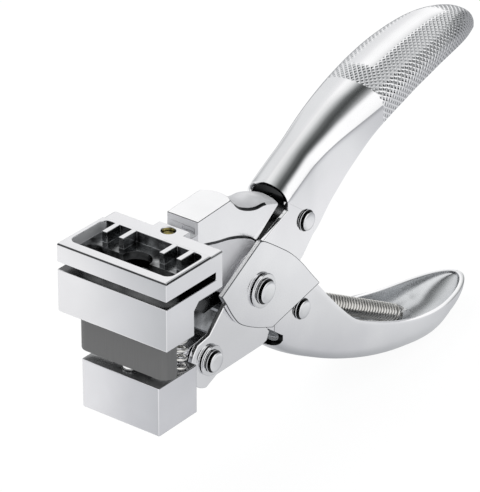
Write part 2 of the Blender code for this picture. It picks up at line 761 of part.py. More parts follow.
def lower_handle():
    """Lower channel handle with its two joggled ears round the pivot."""
    start = pivot_x + lower_front_reach
    shell = channel_shell("lower_handle", start, lower_floor, lower_depth, lower_corner, -1)
    for side in (-1, 1):
        ear = as_tool(side_plate("ear_shape_" + str(side), ear_outline(), ear_sheet,
                                 side * (ear_inner + ear_outer) / 2))
        boolean(shell, ear, "UNION")
        strip = [(start, lower_rim(start)), (start, lower_rim(start) - sheet),
                 (flare_x, lower_rim(flare_x) - sheet), (flare_x, lower_rim(flare_x))]
        joggle = as_tool(side_plate("joggle_shape_" + str(side), strip, ear_outer - lever_inner,
                                    side * (ear_outer + lever_inner) / 2))
        boolean(shell, joggle, "UNION")
    reach = 2 * ear_outer
    for side in (-1, 1):
        low, high = sorted((side * reach, side * (lever_outer - channel_corner)))
        boolean(shell, as_tool(rod("notch_cut_" + str(side), notch_radius, low, high,
                                   start + notch_back, lower_floor(start) + notch_rise, 20)),
                "DIFFERENCE")
    for name, radius, x, z in (("ear_pivot_cut", pivot_pin_radius, pivot_x, pivot_z),
                               ("lower_rivet_cut", small_shank_radius, lower_rivet_x,
                                lower_rivet_z)):
        boolean(shell, as_tool(rod(name, radius + gap, -reach, reach, x, z)), "DIFFERENCE")
    return keep(shell, metal("lower_chrome", (0.80, 0.80, 0.81), 0.10))


# Pins, rivets, washers and spacer

def domed_end(head_radius, start, dome):
    """Profile of a rivet head, from its top down to its seat."""
    flat = dome * 0.35
    rise = dome - flat
    return [(head_radius * math.sin(a * degree), start + flat + rise * math.cos(a * degree))
            for a in (0, 30, 60, 90)] + [(head_radius, start)]


def through_rivet(name, head_radius, shank_radius, seat, x, z, material):
    """A rivet across the tool with a domed head at each end."""
    top = domed_end(head_radius, seat, head_dome)
    bottom = [(radius, -height) for radius, height in reversed(top)]
    profile = top + [(shank_radius, seat), (shank_radius, -seat)] + bottom
    place = Matrix.Translation((x, 0, z)) @ Matrix.Rotation(90 * degree, 4, "X")
    return keep(turned(name, profile, place), material)


def washers(name, inner, outer, start, x, z, material):
    """Two equal washers, one on each side of the tool."""
    def ring(work, low):
        high = low + washer_thickness
        count = 24
        loops = []
        for radius, y in ((inner, low), (outer, low), (outer, high), (inner, high)):
            turn = [2 * math.pi * step / count for step in range(count)]
            loops.append([work.verts.new((x + radius * math.cos(a), y, z + radius * math.sin(a)))
                          for a in turn])
        for index in range(4):
            first, second = loops[index], loops[(index + 1) % 4]
            for step in range(count):
                after = (step + 1) % count
                work.faces.new((first[step], first[after], second[after], second[step]))

    for side, low in (("near", -start - washer_thickness), ("far", start)):
        washer = mesh_object(name + "_" + side, lambda work, low=low: ring(work, low))
        keep(washer, material)


def short_rivets():
    """Two small rivets that hold the tail between the lower handle's flanks."""
    inner = pull_outer_radius + 2 * gap
    length = lever_outer + gap - inner
    x = lower_rivet_x

    steel = metal("rivet_steel", (0.7, 0.7, 0.7), 0.2)
    for name, side in (("lower_rivet_near", -1), ("lower_rivet_far", 1)):
        top = domed_end(small_head_radius, length, head_dome)
        profile = top + [(small_shank_radius, length), (small_shank_radius, 0), (0, 0)]
        place = (Matrix.Translation((x, side * inner, lower_rivet_z))
                 @ Matrix.Rotation(-side * 90 * degree, 4, "X"))
        keep(turned(name, profile, place, 24), steel)


def pins():
    """Every pin, washer and spacer that crosses the tool."""
    steel = metal("pivot_pin_steel", (0.74, 0.74, 0.74), 0.16)
    washer_start = ear_outer + gap
    pin_seat = washer_start + washer_thickness + gap
    through_rivet("pivot_pin", pivot_head_radius, pivot_pin_radius, pin_seat, pivot_x, pivot_z, steel)
    washers("pivot_washer", pivot_pin_radius + gap, pivot_washer_radius, washer_start,
            pivot_x, pivot_z, metal("pivot_washer_steel", (0.7, 0.7, 0.7), 0.2))
    jaw_start = lever_outer + gap
    jaw_seat = jaw_start + washer_thickness + gap
    through_rivet("jaw_pin", jaw_head_radius, jaw_pin_radius, jaw_seat, jaw_pin_x, jaw_pin_z,
                  metal("jaw_pin_steel", (0.74, 0.74, 0.74), 0.16))
    washers("jaw_washer", jaw_pin_radius + gap, jaw_washer_radius, jaw_start,
            jaw_pin_x, jaw_pin_z, metal("jaw_washer_steel", (0.7, 0.7, 0.7), 0.2))
    through_rivet("upper_rivet", small_head_radius, small_shank_radius, lever_outer + gap,
                  upper_rivet_x, upper_rivet_z, metal("upper_rivet_steel", (0.7, 0.7, 0.7), 0.2))

    spacer_end = lever_inner - gap
    inner = small_shank_radius + gap
    profile = [(inner, spacer_end), (spacer_radius, spacer_end), (spacer_radius, -spacer_end),
               (inner, -spacer_end)]
    place = Matrix.Translation((upper_rivet_x, 0, upper_rivet_z)) @ Matrix.Rotation(90 * degree, 4, "X")
    keep(turned("handle_spacer", profile, place), metal("spacer_steel", (0.5, 0.5, 0.5), 0.35))

    hook_pin = rod("spring_hook_pin", hook_pin_radius, -lever_outer, lever_outer, hook_x, hook_z, 20)
    keep(hook_pin, metal("hook_pin_steel", (0.5, 0.5, 0.5), 0.3))


# Springs

def least_gap(points, wire, skip):
    """Least clear distance of a wound wire from itself, measured on its points."""
    least = None
    for first in range(len(points)):
        for second in range(first + skip, len(points)):
            distance = (points[first] - points[second]).length - wire
            if least is None or distance < least:
                least = distance
    return least


def wire_tube(name, points, wire, material):
    """A round wire along points, made one closed mesh."""
    curve = bpy.data.curves.new(name + "_path", "CURVE")
    curve.dimensions = "3D"
    curve.bevel_depth = wire / 2
    curve.bevel_resolution = 1
    curve.use_fill_caps = True
    spline = curve.splines.new("POLY")
    spline.points.add(len(points) - 1)
    for point, place in zip(spline.points, points):
        point.co = (*place, 1)
    sketch = bpy.data.objects.new(name + "_path", curve)
    bpy.context.scene.collection.objects.link(sketch)
    bpy.context.view_layer.update()
    graph = bpy.context.evaluated_depsgraph_get()
    mesh = bpy.data.meshes.new_from_object(sketch.evaluated_get(graph))
    mesh.name = name
    bpy.data.objects.remove(sketch)
    work = bmesh.new()
    work.from_mesh(mesh)
    bmesh.ops.remove_doubles(work, verts=work.verts, dist=0.000001)
    bmesh.ops.recalc_face_normals(work, faces=work.faces)
    work.to_mesh(mesh)
    work.free()
    return keep(bpy.data.objects.new(name, mesh), material)


def return_springs():
    """Two upright springs between the head and the jaw."""
    x = jaw_back - return_back
    bottom = jaw_top - return_seat + gap + return_wire / 2
    top = web_bottom + return_seat - gap - return_wire / 2
    radius = return_outer_radius - return_wire / 2
    count = return_turns * curl_points
    for name, side in (("return_spring_near", -1), ("return_spring_far", 1)):
        points = []
        for step in range(count + 1):
            share = step / count
            angle = 2 * math.pi * return_turns * share
            height = bottom + (top - bottom) * share
            points.append(Vector((x + radius * math.cos(angle),
                                  side * (return_side + radius * math.sin(angle)), height)))
        print(name, "least gap, mm:",
              round(least_gap(points, return_wire, curl_points // 2 + 1) / mm, 2))
        wire_tube(name, points, return_wire, metal(name + "_steel", (0.55, 0.55, 0.56), 0.25))


def handle_spring():
    """Long pull spring from the lever's hook pin to the anchor in the lower handle."""
    start = Vector((hook_x, 0, hook_z))
    pull_end = pull_anchor()
    along = (pull_end - start).normalized()
    across = Vector((-along.z, 0, along.x))
    side = Vector((0, 1, 0))
    radius = pull_outer_radius - pull_wire / 2
    front_loop = hook_pin_radius + gap + pull_wire / 2
    back_loop = anchor_radius + gap + pull_wire / 2
    coil_start = start + along * pull_lead
    coil_end = pull_end - along * pull_lead
    points = []
    for angle in range(250, 89, -20):
        a = angle * degree
        points.append(start + along * math.cos(a) * front_loop + across * math.sin(a) * front_loop)
    count = pull_turns * curl_points
    pitch = (coil_end - coil_start).length / pull_turns
    for step in range(count + 1):
        share = step / count
        a = 2 * math.pi * pull_turns * share
        ease = pitch * 0.4
        shift = -ease * max(0, 1 - step / (curl_points / 2))
        shift += ease * max(0, 1 - (count - step) / (curl_points / 2))
        centre = coil_start.lerp(coil_end, share) + along * shift
        points.append(centre + across * math.cos(a) * radius + side * math.sin(a) * radius)
    for angle in range(90, -71, -20):
        a = angle * degree
        points.append(pull_end + along * math.cos(a) * back_loop + across * math.sin(a) * back_loop)
    print("handle_spring least gap, mm:",
          round(least_gap(points, pull_wire, curl_points // 2 + 1) / mm, 2))
    wire_tube("handle_spring", points, pull_wire, metal("pull_spring_steel", (0.42, 0.41, 0.39), 0.3))


def pull_anchor():
    """Centre of the bar that holds the pull spring's rear hook."""
    x = pivot_x + pull_reach
    return Vector((x, 0, lower_floor(x) + sheet + anchor_height))


def spring_anchor():
    """Small bracket on the lower handle's floor that holds the pull spring's end."""
    pull_end = pull_anchor()
    room = pull_wire / 2 + 3 * gap
    floor = max(lower_floor(pull_end.x - anchor_length / 2),
                lower_floor(pull_end.x + anchor_length / 2))
    base = floor + sheet + gap
    half = room + anchor_cheek
    bracket = box("spring_anchor", (pull_end.x - anchor_length / 2, -half, base),
                  (pull_end.x + anchor_length / 2, half, base + anchor_foot))
    round_end = anchor_radius * 2
    for side in (-1, 1):
        points = [(pull_end.x - round_end, base + anchor_foot / 2)]
        points += arc((pull_end.x, pull_end.z), round_end, 180, 0, 10)
        points += [(pull_end.x + round_end, base + anchor_foot / 2)]
        post = as_tool(side_plate("anchor_cheek_" + str(side), points, anchor_cheek,
                                  side * (room + anchor_cheek / 2)))
        boolean(bracket, post, "UNION")
    bar = as_tool(rod("anchor_bar", anchor_radius, -half, half, pull_end.x, pull_end.z, 16))
    boolean(bracket, bar, "UNION")
    return keep(bracket, metal("anchor_steel", (0.6, 0.6, 0.6), 0.25))


head_casting()
die_plug()
neck_cap()
punch()
jaw_block()
pressure_button()
upper_handle()
lower_handle()
pins()
short_rivets()
return_springs()
handle_spring()
spring_anchor()
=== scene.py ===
import math

import bmesh
import bpy
from mathutils import Matrix, Vector


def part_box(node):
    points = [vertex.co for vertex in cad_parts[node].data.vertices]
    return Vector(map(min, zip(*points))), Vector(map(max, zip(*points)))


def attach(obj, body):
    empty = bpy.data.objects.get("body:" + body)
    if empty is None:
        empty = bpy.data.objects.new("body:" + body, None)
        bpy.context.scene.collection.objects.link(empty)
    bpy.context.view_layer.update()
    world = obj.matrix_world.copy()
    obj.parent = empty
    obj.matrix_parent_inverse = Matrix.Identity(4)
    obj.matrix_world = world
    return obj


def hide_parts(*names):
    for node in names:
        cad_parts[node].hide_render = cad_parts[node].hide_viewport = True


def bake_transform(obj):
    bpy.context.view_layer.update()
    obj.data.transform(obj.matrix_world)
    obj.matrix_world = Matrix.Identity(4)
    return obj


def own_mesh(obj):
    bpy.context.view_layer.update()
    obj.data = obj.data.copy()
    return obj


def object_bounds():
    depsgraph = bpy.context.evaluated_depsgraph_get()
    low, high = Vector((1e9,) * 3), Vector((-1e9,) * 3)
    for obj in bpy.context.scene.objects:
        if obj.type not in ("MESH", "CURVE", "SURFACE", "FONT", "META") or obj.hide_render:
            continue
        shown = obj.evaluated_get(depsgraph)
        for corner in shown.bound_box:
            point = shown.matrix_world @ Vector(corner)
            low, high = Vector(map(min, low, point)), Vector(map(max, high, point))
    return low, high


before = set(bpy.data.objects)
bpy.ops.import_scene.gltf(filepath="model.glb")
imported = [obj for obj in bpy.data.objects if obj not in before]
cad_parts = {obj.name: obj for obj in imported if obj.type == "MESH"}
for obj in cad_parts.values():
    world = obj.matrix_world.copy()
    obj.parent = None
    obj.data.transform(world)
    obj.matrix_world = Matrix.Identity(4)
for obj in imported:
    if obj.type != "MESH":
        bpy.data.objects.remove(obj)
cad_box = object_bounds()
mm = 0.001
degree = math.pi / 180

# Camera. A long lens, seen from the head's front left corner and from above,
# fitted to the edges of the head, so that its lines run as in the photograph.
turn, drop, roll = 37.473 * degree, 28.16 * degree, 0.17 * degree
look = Vector((math.cos(turn) * math.cos(drop), math.sin(turn) * math.cos(drop), -math.sin(drop)))
side = Vector((math.sin(turn), -math.cos(turn), 0))
above = side.cross(look)
side_rolled = side * math.cos(roll) + above * math.sin(roll)
above_rolled = above * math.cos(roll) - side * math.sin(roll)
aim = Vector((40.0 * mm, 0, 14.7 * mm))
away, aside, below = 992.94 * mm, 10.20 * mm, 10.29 * mm
eye = aim + side_rolled * aside - above_rolled * below - look * away


def placed(name, data):
    """A new object in the scene, from its mesh, lamp, camera or curve."""
    piece = bpy.data.objects.new(name, data)
    bpy.context.scene.collection.objects.link(piece)
    return piece


camera = placed("camera", bpy.data.cameras.new("camera"))
camera.matrix_world = Matrix.Translation(eye) @ Matrix((side_rolled, above_rolled, -look)).transposed().to_4x4()
camera.data.lens = 263.59
camera.data.clip_end = 20
bpy.context.scene.camera = camera
bpy.context.scene.view_settings.view_transform = "Standard"

# Floor. A pale seamless sweep just under the lowest part of the tool. To the
# plated faces it looks like a bright table, a little greyer to the right, with a painted shadow under them.


def colour(code):
    """An sRGB hex value as a linear colour."""
    parts = [int(code[i:i + 2], 16) / 255 for i in (1, 3, 5)]
    line = [c / 12.92 if c <= 0.04045 else ((c + 0.055) / 1.055) ** 2.4 for c in parts]
    return (*line, 1)


def add(tree, kind, links=(), **settings):
    """A node with its settings, and links as (input, other node's output)."""
    node = tree.nodes.new("ShaderNode" + kind)
    for name, value in settings.items():
        if hasattr(node, name):
            setattr(node, name, value)
        else:
            node.inputs[name.replace("_", " ")].default_value = value
    for socket, output in links:
        tree.links.new(output, node.inputs[socket])
    return node


def ramp(tree, output, stops):
    """A colour ramp over an output, from (place, hex colour) stops."""
    node = add(tree, "ValToRGB", [(0, output)])
    while len(node.color_ramp.elements) < len(stops):
        node.color_ramp.elements.new(0.5)
    for element, (place, code) in zip(node.color_ramp.elements, stops):
        element.position = place
        element.color = colour(code)
    return node.outputs[0]


floor_height = cad_box[0].z - 0.2 * mm
bpy.ops.mesh.primitive_plane_add(size=6, location=(0, 0, floor_height))
floor = bpy.context.object
floor.name = "floor"
paper = bpy.data.materials.new("white_paper_sweep")
paper.use_nodes = True
tree = paper.node_tree
tree.nodes.clear()
place = add(tree, "TexCoord").outputs["Object"]
path = add(tree, "LightPath")
matt = add(tree, "BsdfDiffuse", Color=colour("#FFFFFF"))
bright = add(tree, "Emission", Color=colour("#FFFFFF"), Strength=1.06)


def fade(tree, output, low, high, direction=None):
    """How far a number, or a place along a direction, lies between two values, as 0 to 1."""
    if direction:
        measure = add(tree, "VectorMath", [(0, output)], operation="DOT_PRODUCT")
        measure.inputs[1].default_value = direction
        output = measure.outputs["Value"]
    share = add(tree, "MapRange", [("Value", output)])
    share.inputs["From Min"].default_value = low
    share.inputs["From Max"].default_value = high
    return share.outputs[0]


def blend(tree, first, second, factor, kind="MIX"):
    """Two colours mixed or multiplied."""
    node = add(tree, "MixRGB", blend_type=kind)
    for socket, value in (("Color1", first), ("Color2", second), ("Fac", factor)):
        if hasattr(value, "is_linked"):
            tree.links.new(value, node.inputs[socket])
        else:
            node.inputs[socket].default_value = value
    return node.outputs["Color"]


spread = add(tree, "SeparateXYZ", [(0, place)])
for_fronts = ramp(tree, fade(tree, place, -0.10, 0.20, (0.61, 0.79, 0)),
                  [(0.0, "#FFFFFF"), (0.18, "#FFFFFF"), (0.25, "#B8BABC"), (0.285, "#C6C8CA"),
                   (0.335, "#DDDEE0"), (0.38, "#FAFAFA"), (0.50, "#FFFFFF")])
for_sides = ramp(tree, fade(tree, spread.outputs["X"], 0.04, 0.34),
                 [(0.0, "#DBDCDE"), (0.08, "#D9DADC"), (0.16, "#CECFD1"), (0.235, "#CFD0D2"),
                  (0.30, "#DEDFE0"), (0.37, "#EBECED"), (0.45, "#ECECEE"), (0.52, "#E3E4E6"),
                  (0.60, "#D1D2D5"), (0.72, "#C6C7CA"), (0.82, "#BEBFC2"), (0.95, "#AFB0B3")])
beside_head = blend(tree, colour("#000000"), fade(tree, spread.outputs["X"], 0.145, 0.130),
                    fade(tree, spread.outputs["Y"], -0.082, -0.094))
for_sides = blend(tree, for_sides, colour("#E0E1E3"), beside_head)
glow = blend(tree, for_fronts, for_sides, fade(tree, place, -0.02, 0.02, (0.79, -0.61, 0)))
# a painted shadow on the floor under the tool, seen only in the plated faces' reflections
off_axis = add(tree, "Math", [(0, spread.outputs["Y"])], operation="ABSOLUTE").outputs[0]
beside, before = fade(tree, off_axis, 0.0, 0.05), fade(tree, spread.outputs["X"], 0.05, 0.0)
clear = add(tree, "Math", [(0, beside), (1, before)], operation="MAXIMUM").outputs[0]
painted_shade_under_tool = ramp(tree, clear, [(0.0, "#CACBCD"), (0.25, "#DCDDDE"), (0.6, "#F6F6F7"), (1.0, "#FFFFFF")])
glow = blend(tree, glow, painted_shade_under_tool, 1.0, "MULTIPLY")
mirror = add(tree, "Emission", [(0, glow)], Strength=1.04)
shown = add(tree, "MixShader", [(0, path.outputs["Is Camera Ray"]), (1, matt.outputs[0])])
veil = add(tree, "MixShader", Fac=0.85)
tree.links.new(matt.outputs[0], veil.inputs[1])
tree.links.new(bright.outputs[0], veil.inputs[2])
tree.links.new(veil.outputs[0], shown.inputs[2])
final = add(tree, "MixShader",
            [(0, path.outputs["Is Glossy Ray"]), (1, shown.outputs[0]), (2, mirror.outputs[0])])
add(tree, "OutputMaterial", [(0, final.outputs[0])])
floor.data.materials.append(paper)

# Light. A white room with a dark slot between its ceiling panels, which gives the
# round plated handles their dark band, one soft lamp above and a weak one in front.
world = bpy.data.worlds.new("studio")
bpy.context.scene.world = world
world.use_nodes = True
tree = world.node_tree
tree.nodes.clear()
path = add(tree, "LightPath")
way = add(tree, "TexCoord").outputs["Generated"]


def dim_patch(centre, stops):
    """A patch of the room round one direction, shaded by how near a direction is to it."""
    near = add(tree, "VectorMath", [(0, way)], operation="DOT_PRODUCT")
    near.inputs[1].default_value = Vector(centre).normalized()
    return ramp(tree, near.outputs["Value"], stops)


def worked(kind, *values):
    """Arithmetic on two numbers, fixed or from other nodes."""
    node = add(tree, "Math", operation=kind)
    for k, value in enumerate(values):
        if hasattr(value, "is_linked"):
            tree.links.new(value, node.inputs[k])
        else:
            node.inputs[k].default_value = value
    return node.outputs[0]


parts = add(tree, "SeparateXYZ", [(0, way)])
to_tip, to_far, up_way = parts.outputs["X"], parts.outputs["Y"], parts.outputs["Z"]
middle_line = worked("SUBTRACT", worked("MULTIPLY", fade(tree, to_tip, -0.08, 0.36), 0.34), 0.02)
breadth = worked("SUBTRACT", 0.32, worked("MULTIPLY", fade(tree, to_tip, -0.08, 0.45), 0.23))
off_line = worked("DIVIDE", worked("SUBTRACT", to_far, middle_line), breadth)
slot_shade = ramp(tree, fade(tree, off_line, -2.5, 2.5),
                  [(0.0, "#FFFFFF"), (0.10, "#F4F4F4"), (0.20, "#DFDFE0"), (0.30, "#AEAFB0"),
                   (0.40, "#626464"), (0.49, "#404242"), (0.60, "#636565"), (0.70, "#AAACAC"),
                   (0.80, "#DCDDDD"), (0.90, "#F2F2F2"), (1.0, "#FFFFFF")])
end_shade = ramp(tree, to_tip, [(0.30, "#FFFFFF"), (0.42, "#F6F6F6"), (0.60, "#DADBDC"),
                                (0.75, "#B8BABB"), (0.90, "#A2A4A5"), (1.0, "#747677")])
far_shade = ramp(tree, to_far, [(0.50, "#FFFFFF"), (0.60, "#F8F8F8"), (0.64, "#E8E8E9"),
                                (0.70, "#DFE0E1"), (0.85, "#DCDDDE"), (0.93, "#B6B8B9")])
back_card = dim_patch((-0.52, 0.53, 0.67), [(0.945, "#FFFFFF"), (0.98, "#5A5B5C")])
side_card = dim_patch((0.70, -0.47, 0.54), [(0.92, "#FFFFFF"), (0.96, "#4A4B4C")])
room = blend(tree, colour("#FFFFFF"), slot_shade, fade(tree, up_way, 0.25, 0.50))
room = blend(tree, room, blend(tree, end_shade, far_shade, fade(tree, to_far, 0.28, 0.45)), 1.0, "MULTIPLY")
for other in (back_card, side_card):
    room = blend(tree, room, other, 1.0, "MULTIPLY")
seen = add(tree, "Background", Color=colour("#FFFFFF"), Strength=1.0)
mirrored = add(tree, "Background", [(0, room)], Strength=1.12)
soft = add(tree, "Background", Color=colour("#F4F5F6"), Strength=0.72)
first = add(tree, "MixShader",
            [(0, path.outputs["Is Glossy Ray"]), (1, soft.outputs[0]), (2, mirrored.outputs[0])])
second = add(tree, "MixShader",
             [(0, path.outputs["Is Camera Ray"]), (1, first.outputs[0]), (2, seen.outputs[0])])
add(tree, "OutputWorld", [(0, second.outputs[0])])

for name, power, size, spot in (("key_lamp", 5.0, 0.9, (-0.5, 0.5, 1.4)),
                                ("front_lamp", 1.5, 0.7, (-1.2, -0.7, 0.5))):
    lamp = bpy.data.lights.new(name, "AREA")
    lamp.energy = power
    lamp.size = size
    holder = placed(name, lamp)
    holder.location = spot
    holder.visible_glossy = False
    holder.rotation_euler = (aim - Vector(spot)).to_track_quat("-Z", "Y").to_euler()

# Head casting. Die plate, throat, guide block and tongue are one steel casting,
# milled flat and nickel-chrome plated; the milled corners are just broken.


def plated(name, light, dark, roughness, grain=(1, 1, 1), depth=0.02, clouds=70, metal=1.0):
    """Bright nickel-chrome plate: faint clouding, and fine polishing lines along one way.
    A matt or hazy patch of it is given as less than wholly metal."""
    material = bpy.data.materials.new(name)
    material.use_nodes = True
    tree = material.node_tree
    shader = tree.nodes["Principled BSDF"]
    shader.inputs["Metallic"].default_value = metal
    place = add(tree, "TexCoord").outputs["Object"]
    cloud = add(tree, "TexNoise", [("Vector", place)], Scale=clouds, Detail=3.0)
    tint = ramp(tree, cloud.outputs["Fac"], [(0.30, dark), (0.70, light)])
    tree.links.new(tint, shader.inputs["Base Color"])
    stretch = add(tree, "Mapping", [("Vector", place)])
    stretch.inputs["Scale"].default_value = grain
    lines = add(tree, "TexNoise", [("Vector", stretch.outputs[0])], Scale=900.0, Detail=2.0)
    rough = add(tree, "MapRange", [("Value", lines.outputs["Fac"])])
    rough.inputs["To Min"].default_value = roughness * 0.75
    rough.inputs["To Max"].default_value = roughness * 1.3
    tree.links.new(rough.outputs[0], shader.inputs["Roughness"])
    bump = add(tree, "Bump", [("Height", lines.outputs["Fac"])], Strength=depth, Distance=0.0001)
    tree.links.new(bump.outputs[0], shader.inputs["Normal"])
    return material


def pick(*pieces):
    """Select these pieces and nothing else, the first one active."""
    bpy.ops.object.select_all(action="DESELECT")
    for piece in pieces:
        piece.select_set(True)
    bpy.context.view_layer.objects.active = pieces[0]


def soften(piece, angle):
    """Smooth shading over small bends, while the large flat faces stay flat."""
    pick(piece)
    bpy.ops.object.shade_smooth_by_angle(angle=angle * degree)
    even = piece.modifiers.new("even", "WEIGHTED_NORMAL")
    even.weight = 80
    even.keep_sharp = True
    bpy.ops.object.modifier_apply(modifier="even")
    return piece


def run_of(edge):
    """The direction of an edge."""
    return (edge.verts[1].co - edge.verts[0].co).normalized()


def eased(node, name, width, segments=2, corner=28):
    """A copy of a plain solid with its edges broken by a small round; width is one
    size, or a rule that gives each edge its own. It stays clear of narrow steps."""
    copy = placed(name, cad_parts[node].data.copy())
    pick(copy)
    bpy.ops.object.mode_set(mode="EDIT")
    bpy.ops.mesh.select_all(action="SELECT")
    bpy.ops.mesh.remove_doubles(threshold=0.005 * mm)
    bpy.ops.mesh.dissolve_limited(angle_limit=0.6 * degree)
    bpy.ops.object.mode_set(mode="OBJECT")
    for face in copy.data.polygons:
        face.material_index = 0
    if width:
        work = bmesh.new()
        work.from_mesh(copy.data)
        weights = work.edges.layers.float.new("bevel_weight_edge")
        for edge in work.edges:
            if edge.calc_face_angle(0) > corner * degree:
                across = [other.calc_length() for vertex in edge.verts for other in vertex.link_edges
                          if other is not edge and abs(run_of(other).dot(run_of(edge))) < 0.8]
                wanted = width(edge) if callable(width) else width
                room = wanted if wanted > 0.4 * mm else 0.42 * min(across, default=mm)
                edge[weights] = min(wanted, room) / mm
        work.to_mesh(copy.data)
        work.free()
        # each edge's weight is its own width in mm
        bevel = copy.modifiers.new("edge", "BEVEL")
        bevel.width = mm
        bevel.segments = segments
        bevel.limit_method = "WEIGHT"
        bevel.use_clamp_overlap = False
        bpy.ops.object.modifier_apply(modifier="edge")
    return soften(copy, 40)


def mark_faces(piece, index, test):
    """Give the faces whose centre, in mm, and normal pass a test another finish."""
    for face in piece.data.polygons:
        if test(face.center / mm, face.normal):
            face.material_index = index


def finish_piece(piece, materials, body, slot, *nodes):
    """Give a finished piece its finishes, its body if it rides on one, and hide its solids; slot is not used."""
    marks = [face.material_index for face in piece.data.polygons]
    piece.data.materials.clear()
    for material in materials:
        piece.data.materials.append(material)
    for face, mark in zip(piece.data.polygons, marks):
        face.material_index = mark if len(materials) > 1 else 0
    if body:
        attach(piece, body)
    if nodes:
        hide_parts(*nodes)
    return piece


def head_round(edge):
    """Wider on the head's outer edges, finer at narrow steps and round the holes in the recess."""
    ends = [vertex.co / mm for vertex in edge.verts]
    if edge.is_convex and all(abs(end.z - 11.4) < 0.05 and abs(end.y) < 17.5 for end in ends):
        return 0.02 * mm
    if all(abs(end.x - 30.6) < 0.05 and end.z > 11.5 for end in ends):
        return 0.1 * mm
    if all(19.3 < end.x < 19.5 and end.z > 14 for end in ends):
        return 0.16 * mm
    outer = [end.x < 25 and not 6.4 < end.z < 9.1 and (abs(end.y) > 18.9 or end.x < 0.1) for end in ends]
    return 0.6 * mm if all(outer) else 0.22 * mm


def head_finish(at, normal):
    """Which of the head's finishes a face has, by the place of its centre in mm."""
    across = abs(at.y)
    tongue_side = abs(normal.y) > 0.9 and at.x > 24.8
    if tongue_side and (5.05 < across < 5.15 or at.z > 3.4 and 5.3 < across < 5.45):
        return 5
    # the tongue's sides in the gap under the cap's arch: painted shade
    if abs(normal.y) > 0.9 and 3.6 < across < 3.9:
        return 2
    if normal.z > 0.99 and 27.5 < at.x < 31 and at.z > 11:
        return 3
    # the rounded rim of the top, painted dark as a painted reflection of the room's dark
    if 0.1 < normal.z < 0.75 and at.z > 13.7 and at.x < 21 and (at.x < 0.7 or across > 18.3):
        return 2
    pocket = 11.3 < at.z < 14.62 and 1 < at.x < 19.3 and across < 17.9
    if pocket and normal.y < -0.7 and at.y > 16:
        return 3
    if normal.z > 0.99 and at.z > 11.3 and not (pocket and at.z < 14):
        return 4
    # the recess and the walls under the throat: painted shade, mottled with painted glints
    if pocket or (1 < at.x < 18 and -6.5 < at.z < 14 and across < 17 and abs(normal.z) < 0.5):
        return 1
    # the slit, the underside and the neck: painted shade
    slit = 6.5 < at.z < 9.0 and 0.2 < at.x < 21.8 and across < 18.8
    under = at.z < -6.4 and 0.2 < at.x < 12 and across < 18.6
    neck = at.z < 3.4 and 12.4 < at.x < 45 and across < 18.6 and abs(normal.y) < 0.5
    return 2 if slit or under or neck else 0


def solid(name, work):
    """A closed shape as a new piece, its faces turned outwards."""
    bmesh.ops.recalc_face_normals(work, faces=work.faces)
    mesh = bpy.data.meshes.new(name)
    work.to_mesh(mesh)
    work.free()
    return placed(name, mesh)


def metres(pairs):
    """An outline in X and Z, from millimetres."""
    return [(x * mm, z * mm) for x, z in pairs]


def prism(name, outline, low_y, high_y):
    """A flat plate: an outline in X and Z, pulled along Y."""
    work = bmesh.new()
    face = work.faces.new([work.verts.new((x, low_y, z)) for x, z in outline])
    pulled = bmesh.ops.extrude_face_region(work, geom=[face])["geom"]
    far_side = [made for made in pulled if isinstance(made, bmesh.types.BMVert)]
    bmesh.ops.translate(work, vec=(0, high_y - low_y, 0), verts=far_side)
    return solid(name, work)


def smooth(table, at):
    """A smooth curve through (place, value) pairs."""
    if at <= table[0][0]:
        return table[0][1]
    if at >= table[-1][0]:
        return table[-1][1]
    k = max(i for i, row in enumerate(table[:-1]) if row[0] <= at)
    (x0, y0), (x1, y1) = table[k], table[k + 1]

    def slope(i):
        low, high = table[max(i - 1, 0)], table[min(i + 1, len(table) - 1)]
        return (high[1] - low[1]) / (high[0] - low[0])

    t = (at - x0) / (x1 - x0)
    first = y0 * (2 * t ** 3 - 3 * t ** 2 + 1) + slope(k) * (x1 - x0) * (t ** 3 - 2 * t ** 2 + t)
    return first + y1 * (3 * t ** 2 - 2 * t ** 3) + slope(k + 1) * (x1 - x0) * (t ** 3 - t ** 2)


def joined(name, pieces):
    """Several shapes of one casting or stamping as one piece."""
    pick(*pieces)
    bpy.ops.object.join()
    pieces[0].name = name
    return pieces[0]


# the tongue's flat cheeks stand just inside the cap's sides, under its arched edge, and
# a small plate closes the seam between the tongue's foot and the cap
arch_line = [(57.1, -0.5), (55.3, 1.02), (52.4, 2.7), (49.0, 4.2), (44.8, 5.5), (39.5, 6.6), (34.3, 8.0),
             (30.9, 8.77)]
cheek = [(24.9, 8.3)] + [(x, z - 0.45 - 0.5 * min(1, (57.1 - x) / 6)) for x, z in reversed(arch_line)]
cheek += [(57.2, -12), (46.0, -14.0), (38.5, -8.5), (34.0, -2.2), (29.0, -1.3), (24.9, -1.1)]
cheeks = [prism("cheek", metres(cheek), low * mm, (low + 1.4) * mm) for low in (-5.1, 3.7)]
seam = [(29.5, 7.9), (30.95, 7.9), (30.95, 12.0), (29.5, 12.0)]
cheeks += [prism("seam", metres(seam), low * mm, (low + 1.1) * mm) for low in (-5.35, 4.25)]
head = joined("head", [eased("head_casting", "head", head_round)] + cheeks)
for face in head.data.polygons:
    face.material_index = head_finish(face.center / mm, face.normal)
